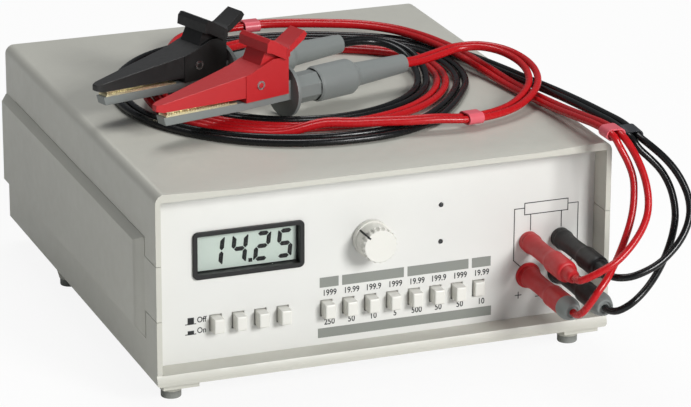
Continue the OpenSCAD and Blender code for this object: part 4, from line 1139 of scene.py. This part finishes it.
@dataclass
class Display:
    """Black frame, acrylic window, and a cell with four seven-segment figures.

    The figures' sizes and places are in millimetres.
    """

    slant: float = 6.0
    digit_height: float = 14.0
    digit_width: float = 7.6
    segment: float = 2.05
    gap: float = 0.2
    figures: tuple[str, ...] = ("1", "4", "2", "5")
    figure_x: tuple[float, ...] = (-76.8, -65.6, -54.7, -43.9)
    point_x: float = -60.4
    point_share: float = 0.9
    middle_z: float = 67.3
    frame_edge: float = 0.0007
    cell_edge: float = 0.0001
    film: Spot = (0.00008, 0.00002)

    LIT = {"1": "bc", "2": "abged", "4": "fgbc", "5": "afgcd"}

    def segment_outline(self, name: str) -> list[Spot]:
        """Outline of one segment, with its ends cut to points.

        Args:
            name: Letter of the segment, from a at the top clockwise, with g in the middle.

        Returns:
            Corners round the figure's middle.
        """
        w, h, t, g = self.digit_width / 2, self.digit_height / 2, self.segment / 2, self.gap
        middles = {"a": h - t, "g": 0.0, "d": t - h}
        if name in middles:
            tip, neck = w - t - g, w - 2 * t - g
            corners = [(-tip, 0), (-neck, t), (neck, t), (tip, 0), (neck, -t), (-neck, -t)]
            return [(x, middles[name] + z) for x, z in corners]
        side = 1 if name in "bc" else -1
        up = 1 if name in "bf" else -1
        x = w - t
        corners = [
            (x, g),
            (x + t, t + g),
            (x + t, h - 0.9 * t),
            (x + 0.6 * t, h - 0.4 * t - g),
            (x - t, h - 2 * t - g),
            (x - t, t + g),
        ]
        return [(side * px, up * pz) for px, pz in corners]

    def cell_figures(self) -> None:
        """Lays the dark segments and the decimal point on the cell."""
        lean = math.tan(math.radians(self.slant))
        outlines = [
            [(x + px + pz * lean, self.middle_z + pz) for px, pz in self.segment_outline(letter)]
            for figure, x in zip(self.figures, self.figure_x)
            for letter in self.LIT[figure]
        ]
        low = self.middle_z - self.digit_height / 2
        side = self.segment * self.point_share
        left, right = self.point_x - side / 2, self.point_x + side / 2
        outlines.append([(left, low), (right, low), (right, low + side), (left, low + side)])
        front, back = (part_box("lcd_module")[0].y - off for off in self.film)
        segments = thin_plates("display_figures", outlines, front, back)
        finish_piece(segments, Stuff.LCD_SEGMENT)

    def build(self) -> None:
        """Dresses the frame, window and cell."""
        moulded("display_frame", Stuff.FRAME_ABS, self.frame_edge, segments=3)
        moulded("display_window", Stuff.WINDOW, self.cell_edge)
        moulded("lcd_module", Stuff.LCD_CELL, self.cell_edge)
        self.cell_figures()


# Controls


@dataclass
class Controls:
    """Push buttons, zero knob with its ribbed rim and pointer, and indicator lamps."""

    edge: float = 0.0003
    knob_x: float = -0.0036
    knob_z: float = 0.0659
    knob_front: float = -0.121
    rim_inset: float = 0.0006
    rim_radius: float = 0.0079
    rib_count: int = 20
    rib_half: float = 0.00052
    crest_half: float = 0.000182
    rib_height: float = 0.00045
    rib_depth: float = 0.0042
    rib_lip: float = 0.0003
    pointer_turn: float = 50.0
    pointer_half: float = 0.00042
    pointer_deep: Spot = (0.0006, 0.0003)
    # Distance from the panel and radius of the pointer's points, along the side and the face
    stations: tuple[Spot, ...] = (
        (0.0012, 0.00876), (0.003, 0.00835), (0.0125, 0.00803), (0.01306, 0.0076),
        (0.01307, 0.0064),
    )

    def ribs(self) -> bpy.types.Object:
        """Grip ribs round the knob's rim, one small ridge repeated by a node tree.

        Returns:
            The ribs as one plain mesh.
        """
        w, crest, d, lip = self.rib_half, self.crest_half, self.rib_height, self.rib_lip
        root = [(-w, 0, 0), (w, 0, 0), (crest, d, lip), (-crest, d, lip)]
        rib = loft("rib", [[root, [(0, 0, self.rib_depth)]]])
        ring = Growth("ring_of_ribs", {"Count": "Int", "Radius": "Float", "Rib": "Object"})
        entry = ring.entry
        around = {"Vertices": entry["Count"], "Radius": entry["Radius"]}
        outwards = ring.add("GeometryNodeInputPosition")["Position"]
        turn = ring.add("FunctionNodeAlignRotationToVector", {"Vector": outwards}, axis="Y")
        copies = {
            "Points": ring.add("GeometryNodeMeshCircle", around)["Mesh"],
            "Instance": ring.add("GeometryNodeObjectInfo", {"Object": entry["Rib"]})["Geometry"],
            "Rotation": turn["Rotation"],
        }
        ring.close(ring.add("GeometryNodeInstanceOnPoints", copies)["Instances"])
        sizes = {"Count": self.rib_count, "Radius": self.rim_radius}
        values = {**sizes, "Rib": rib, "Finish": Stuff.CAP_ABS.material}
        result = ring.grow("knob_ribs", bpy.data.meshes.new("rib_carrier"), values)
        bpy.data.objects.remove(rib)
        place = facing_front(self.knob_x, self.knob_front + self.rim_inset, self.knob_z)
        result.data.transform(place @ Matrix.Rotation(math.pi, 4, "X"))
        return result

    def pointer(self) -> bpy.types.Object:
        """Black filled line along the knob's side, from near the panel to the face.

        Returns:
            The pointer line.
        """
        w = self.pointer_half
        inwards, back = self.pointer_deep
        rings = [
            [(-w, r, z), (w, r, z), (w, r - inwards, z - back), (-w, r - inwards, z - back)]
            for z, r in self.stations
        ]
        obj = loft("knob_pointer", [rings])
        turn = Matrix.Rotation(math.radians(self.pointer_turn), 4, "Z")
        obj.data.transform(facing_front(self.knob_x, PANEL_Y, self.knob_z) @ turn)
        return obj

    def build(self) -> None:
        """Dresses the buttons, the knob and the lamps."""
        buttons = [f"function_button_{i}" for i in range(1, 5)]
        buttons += [f"range_button_{i}" for i in range(1, 9)]
        for node in (*buttons, "zero_knob"):
            moulded(node, Stuff.CAP_ABS, self.edge, node)
        finish_piece(self.ribs(), Stuff.CAP_ABS, "zero_knob")
        finish_piece(self.pointer(), Stuff.DARK_INK, "zero_knob")
        moulded("indicator_leds", Stuff.LAMP_LENS, self.edge)


# Sockets and plugs


@dataclass
class Connections:
    """Panel sockets, plugs and the charger socket at the back.

    Profiles are distances from the panel and radii, in millimetres.
    """

    edge: float = 0.0003
    smooth: float = 40
    nose: tuple[Spot, ...] = (
        (3.05, 0), (3.05, 4.7), (3.5, 5.0), (4.6, 5.0), (5.6, 4.75), (8.0, 4.4), (14, 4.25),
        (20, 4.3), (25, 4.45), (27.2, 4.7), (28.2, 5.1), (29.4, 5.3), (31.0, 5.2), (36, 5.2),
        (40, 5.25), (42, 5.2),
    )
    plain_tail: tuple[Spot, ...] = (
        (43.4, 5.0), (44.1, 4.4), (44.3, 3.7), (45.0, 3.45), (48.5, 3.3), (50.2, 3.05),
        (50.9, 2.5), (50.98, 0),
    )
    ring_tail: tuple[Spot, ...] = ((43.25, 5.3), (43.3, 5.1), (43.3, 0))
    ring: tuple[Spot, ...] = (
        (43.35, 0), (43.35, 5.3), (43.8, 5.4), (46.5, 5.35), (49.2, 4.6), (50.4, 4.15),
        (50.9, 3.7), (50.95, 2.9), (50.4, 2.4), (50.3, 0),
    )

    def turned(self, profile: Sequence[Spot], signal: Signal, kind: str) -> bpy.types.Object:
        """Turns a profile round the axis of a socket.

        Args:
            profile: The profile.
            signal: Pole of the socket.
            kind: Sense or force.

        Returns:
            The turned object.
        """
        axis = facing_front(signal.socket_x, PANEL_Y, SOCKET_Z[kind])
        return lathe("turned", [(along * MM, radius * MM) for along, radius in profile], axis)

    def build(self) -> None:
        """Makes the plugs and dresses the sockets. Only the force plugs have an end ring."""
        tails = {"sense": self.plain_tail, "force": self.ring_tail}
        for signal in Signal:
            colour, nylon = signal.colour, signal.nylon
            bodies = [self.turned(self.nose + tail, signal, kind) for kind, tail in tails.items()]
            plugs = joined(f"{colour}_plugs_shown", bodies)
            finish_piece(plugs, nylon, replaces=(f"{colour}_plugs",), smooth=self.smooth)
            moulded(f"{colour}_sockets", nylon, self.edge)
        rings = [self.turned(self.ring, signal, "force") for signal in Signal]
        ends = joined("plug_end_rings_shown", rings)
        finish_piece(
            ends, Stuff.GREY_PP, replaces=("plug_end_rings",), smooth=self.smooth
        )
        moulded("charger_socket", Stuff.BLACK_NYLON, self.edge)


# Clips


@dataclass
class Clips:
    """Grey lower bodies and boots, coloured upper jaws, gold contacts and nickel rivets.

    A clip's own frame has X along it from the tip, and its origin on its axis.
    """

    edge: float = 0.0004
    jaw_angle: float = 24
    ridge: float = 0.0022
    ridge_end: float = 0.0585
    ridge_least: float = 0.01
    sideways: float = 0.9
    upwards: float = 0.7
    level: float = 0.2
    pivot: Spot = (0.051, 0.008)
    head_side: float = 0.00922
    centre_radius: float = 0.00125
    centre_rise: float = 0.00006
    centre_root: float = 0.0002
    centre_sides: int = 24
    axis_z: float = 0.1161
    contact_half: float = 0.0026
    contact_reach: float = 0.004
    tip_half: float = 0.0028
    taper: float = 0.088

    def along(self, signal: Signal) -> Matrix:
        """Matrix from a clip's own frame to the instrument's frame."""
        turn = Matrix.Rotation(math.radians(signal.clip_turn), 4, "Z")
        return Matrix.Translation((*signal.clip_tip, self.axis_z)) @ turn

    def on_ridge(self, edge: bmesh.types.BMEdge) -> bool:
        """Finds out whether an edge runs between a jaw's side and its top.

        Args:
            edge: Edge of the jaw in the clip's own frame.

        Returns:
            True for such an edge.
        """
        if len(edge.link_faces) != 2:
            return False
        side, top = sorted((face.normal for face in edge.link_faces), key=lambda n: n.z)
        low, high = sorted(vert.co.x for vert in edge.verts)
        long_enough = high < self.ridge_end and high - low > self.ridge_least
        upright = abs(side.y) > self.sideways
        return long_enough and upright and top.z > self.upwards and abs(top.y) < self.level

    def ridged(self, signal: Signal) -> bpy.types.Object:
        """Copies a jaw, bevels its long upper edges, and rounds the rest a little.

        Args:
            signal: Pole of the jaw.

        Returns:
            The copy.
        """
        node = f"{signal.colour}_clip_jaw"
        bm = cleaned(node)
        bm.transform(self.along(signal).inverted())
        bm.normal_update()
        bmesh.ops.bevel(
            bm,
            geom=[edge for edge in bm.edges if self.on_ridge(edge)],
            offset=self.ridge,
            offset_type="OFFSET",
            segments=1,
            affect="EDGES",
            clamp_overlap=True,
        )
        bm.transform(self.along(signal))
        return rounded(node, bm, self.edge, self.jaw_angle)

    def rivet_centres(self, signal: Signal) -> bpy.types.Object:
        """Coloured discs that fill the rivet's ring on both sides.

        Args:
            signal: Pole of the clip.

        Returns:
            Both discs as one object.
        """
        r, t, root = self.centre_radius, self.centre_rise, -self.centre_root
        profile = [(root, 0), (root, r), (t, r), (t * 1.5, r * 0.9), (t * 1.5, 0)]
        discs = []
        for side in (-1, 1):
            turn = Matrix.Rotation(-side * math.pi / 2, 4, "X")
            spot = Matrix.Translation((self.pivot[0], side * self.head_side, self.pivot[1]))
            place = self.along(signal) @ spot @ turn
            discs.append(lathe("disc", profile, place, self.centre_sides))
        return joined(f"{signal.colour}_rivet_centres", discs)

    def wide_contact(self, node: str) -> bpy.types.Object:
        """Copies a toothed contact and spreads it to the jaws' tapering sides.

        Args:
            node: Name of the contact's node.

        Returns:
            The spread copy.
        """
        bm = cleaned(node, merge_flat=False)
        for vert in bm.verts:
            for signal in Signal:
                here = self.along(signal).inverted() @ vert.co
                if abs(here.y) < self.contact_reach and 0 < here.x < self.pivot[0]:
                    here.y *= (self.tip_half + self.taper * here.x) / self.contact_half
                    vert.co = self.along(signal) @ here
                    break
        return from_bmesh(node + "_shown", bm, outward=True)

    def build(self) -> None:
        """Rounds and dresses the pieces of both clips."""
        for signal in Signal:
            colour, nylon = signal.colour, signal.nylon
            slot, jaw = f"{colour}_plastic", f"{colour}_clip_jaw"
            moulded(f"{colour}_clip_body", Stuff.GREY_PP, self.edge)
            finish_piece(self.ridged(signal), nylon, f"{colour}_jaw", (jaw,), 20)
            finish_piece(self.rivet_centres(signal), nylon)
            dress(f"{colour}_upper_contact", Stuff.GOLD)
        moulded("clip_boots", Stuff.BOOT_TPE, self.edge)
        lower = self.wide_contact("lower_contacts")
        finish_piece(lower, Stuff.GOLD, replaces=("lower_contacts",), smooth=10)
        dress("clip_pivots", Stuff.NICKEL)


# Inside


@dataclass
class Inside:
    """Boards, switch banks, battery and the pieces behind the panel."""

    finishes: dict[str, Stuff] = field(
        default_factory=lambda: {
            "display_board": Stuff.BOARD,
            "main_board": Stuff.BOARD,
            "function_switch_bank": Stuff.SWITCH_PBT,
            "range_switch_bank": Stuff.SWITCH_PBT,
            "battery_tray": Stuff.FRAME_ABS,
            "battery_cells": Stuff.CELL_FILM,
            "zero_shaft": Stuff.NICKEL,
            "charger_pin": Stuff.NICKEL,
            "zero_potentiometer": Stuff.NICKEL,
            "plug_pins": Stuff.GOLD,
        }
    )

    def build(self) -> None:
        """Gives each inner node its finish."""
        for node, stuff in self.finishes.items():
            dress(node, stuff)


def main() -> None:
    """Builds the scene in order."""
    logging.basicConfig(level=logging.INFO, format="%(name)s %(message)s")
    Studio().build()
    for pair in lead_pairs():
        pair.build()
    for assembly in (Case(), PanelPrint(), Display(), Controls(), Connections(), Clips(), Inside()):
        assembly.build()
        LOG.info("finished %s", type(assembly).__name__)


if __name__ == "__main__":
    main()
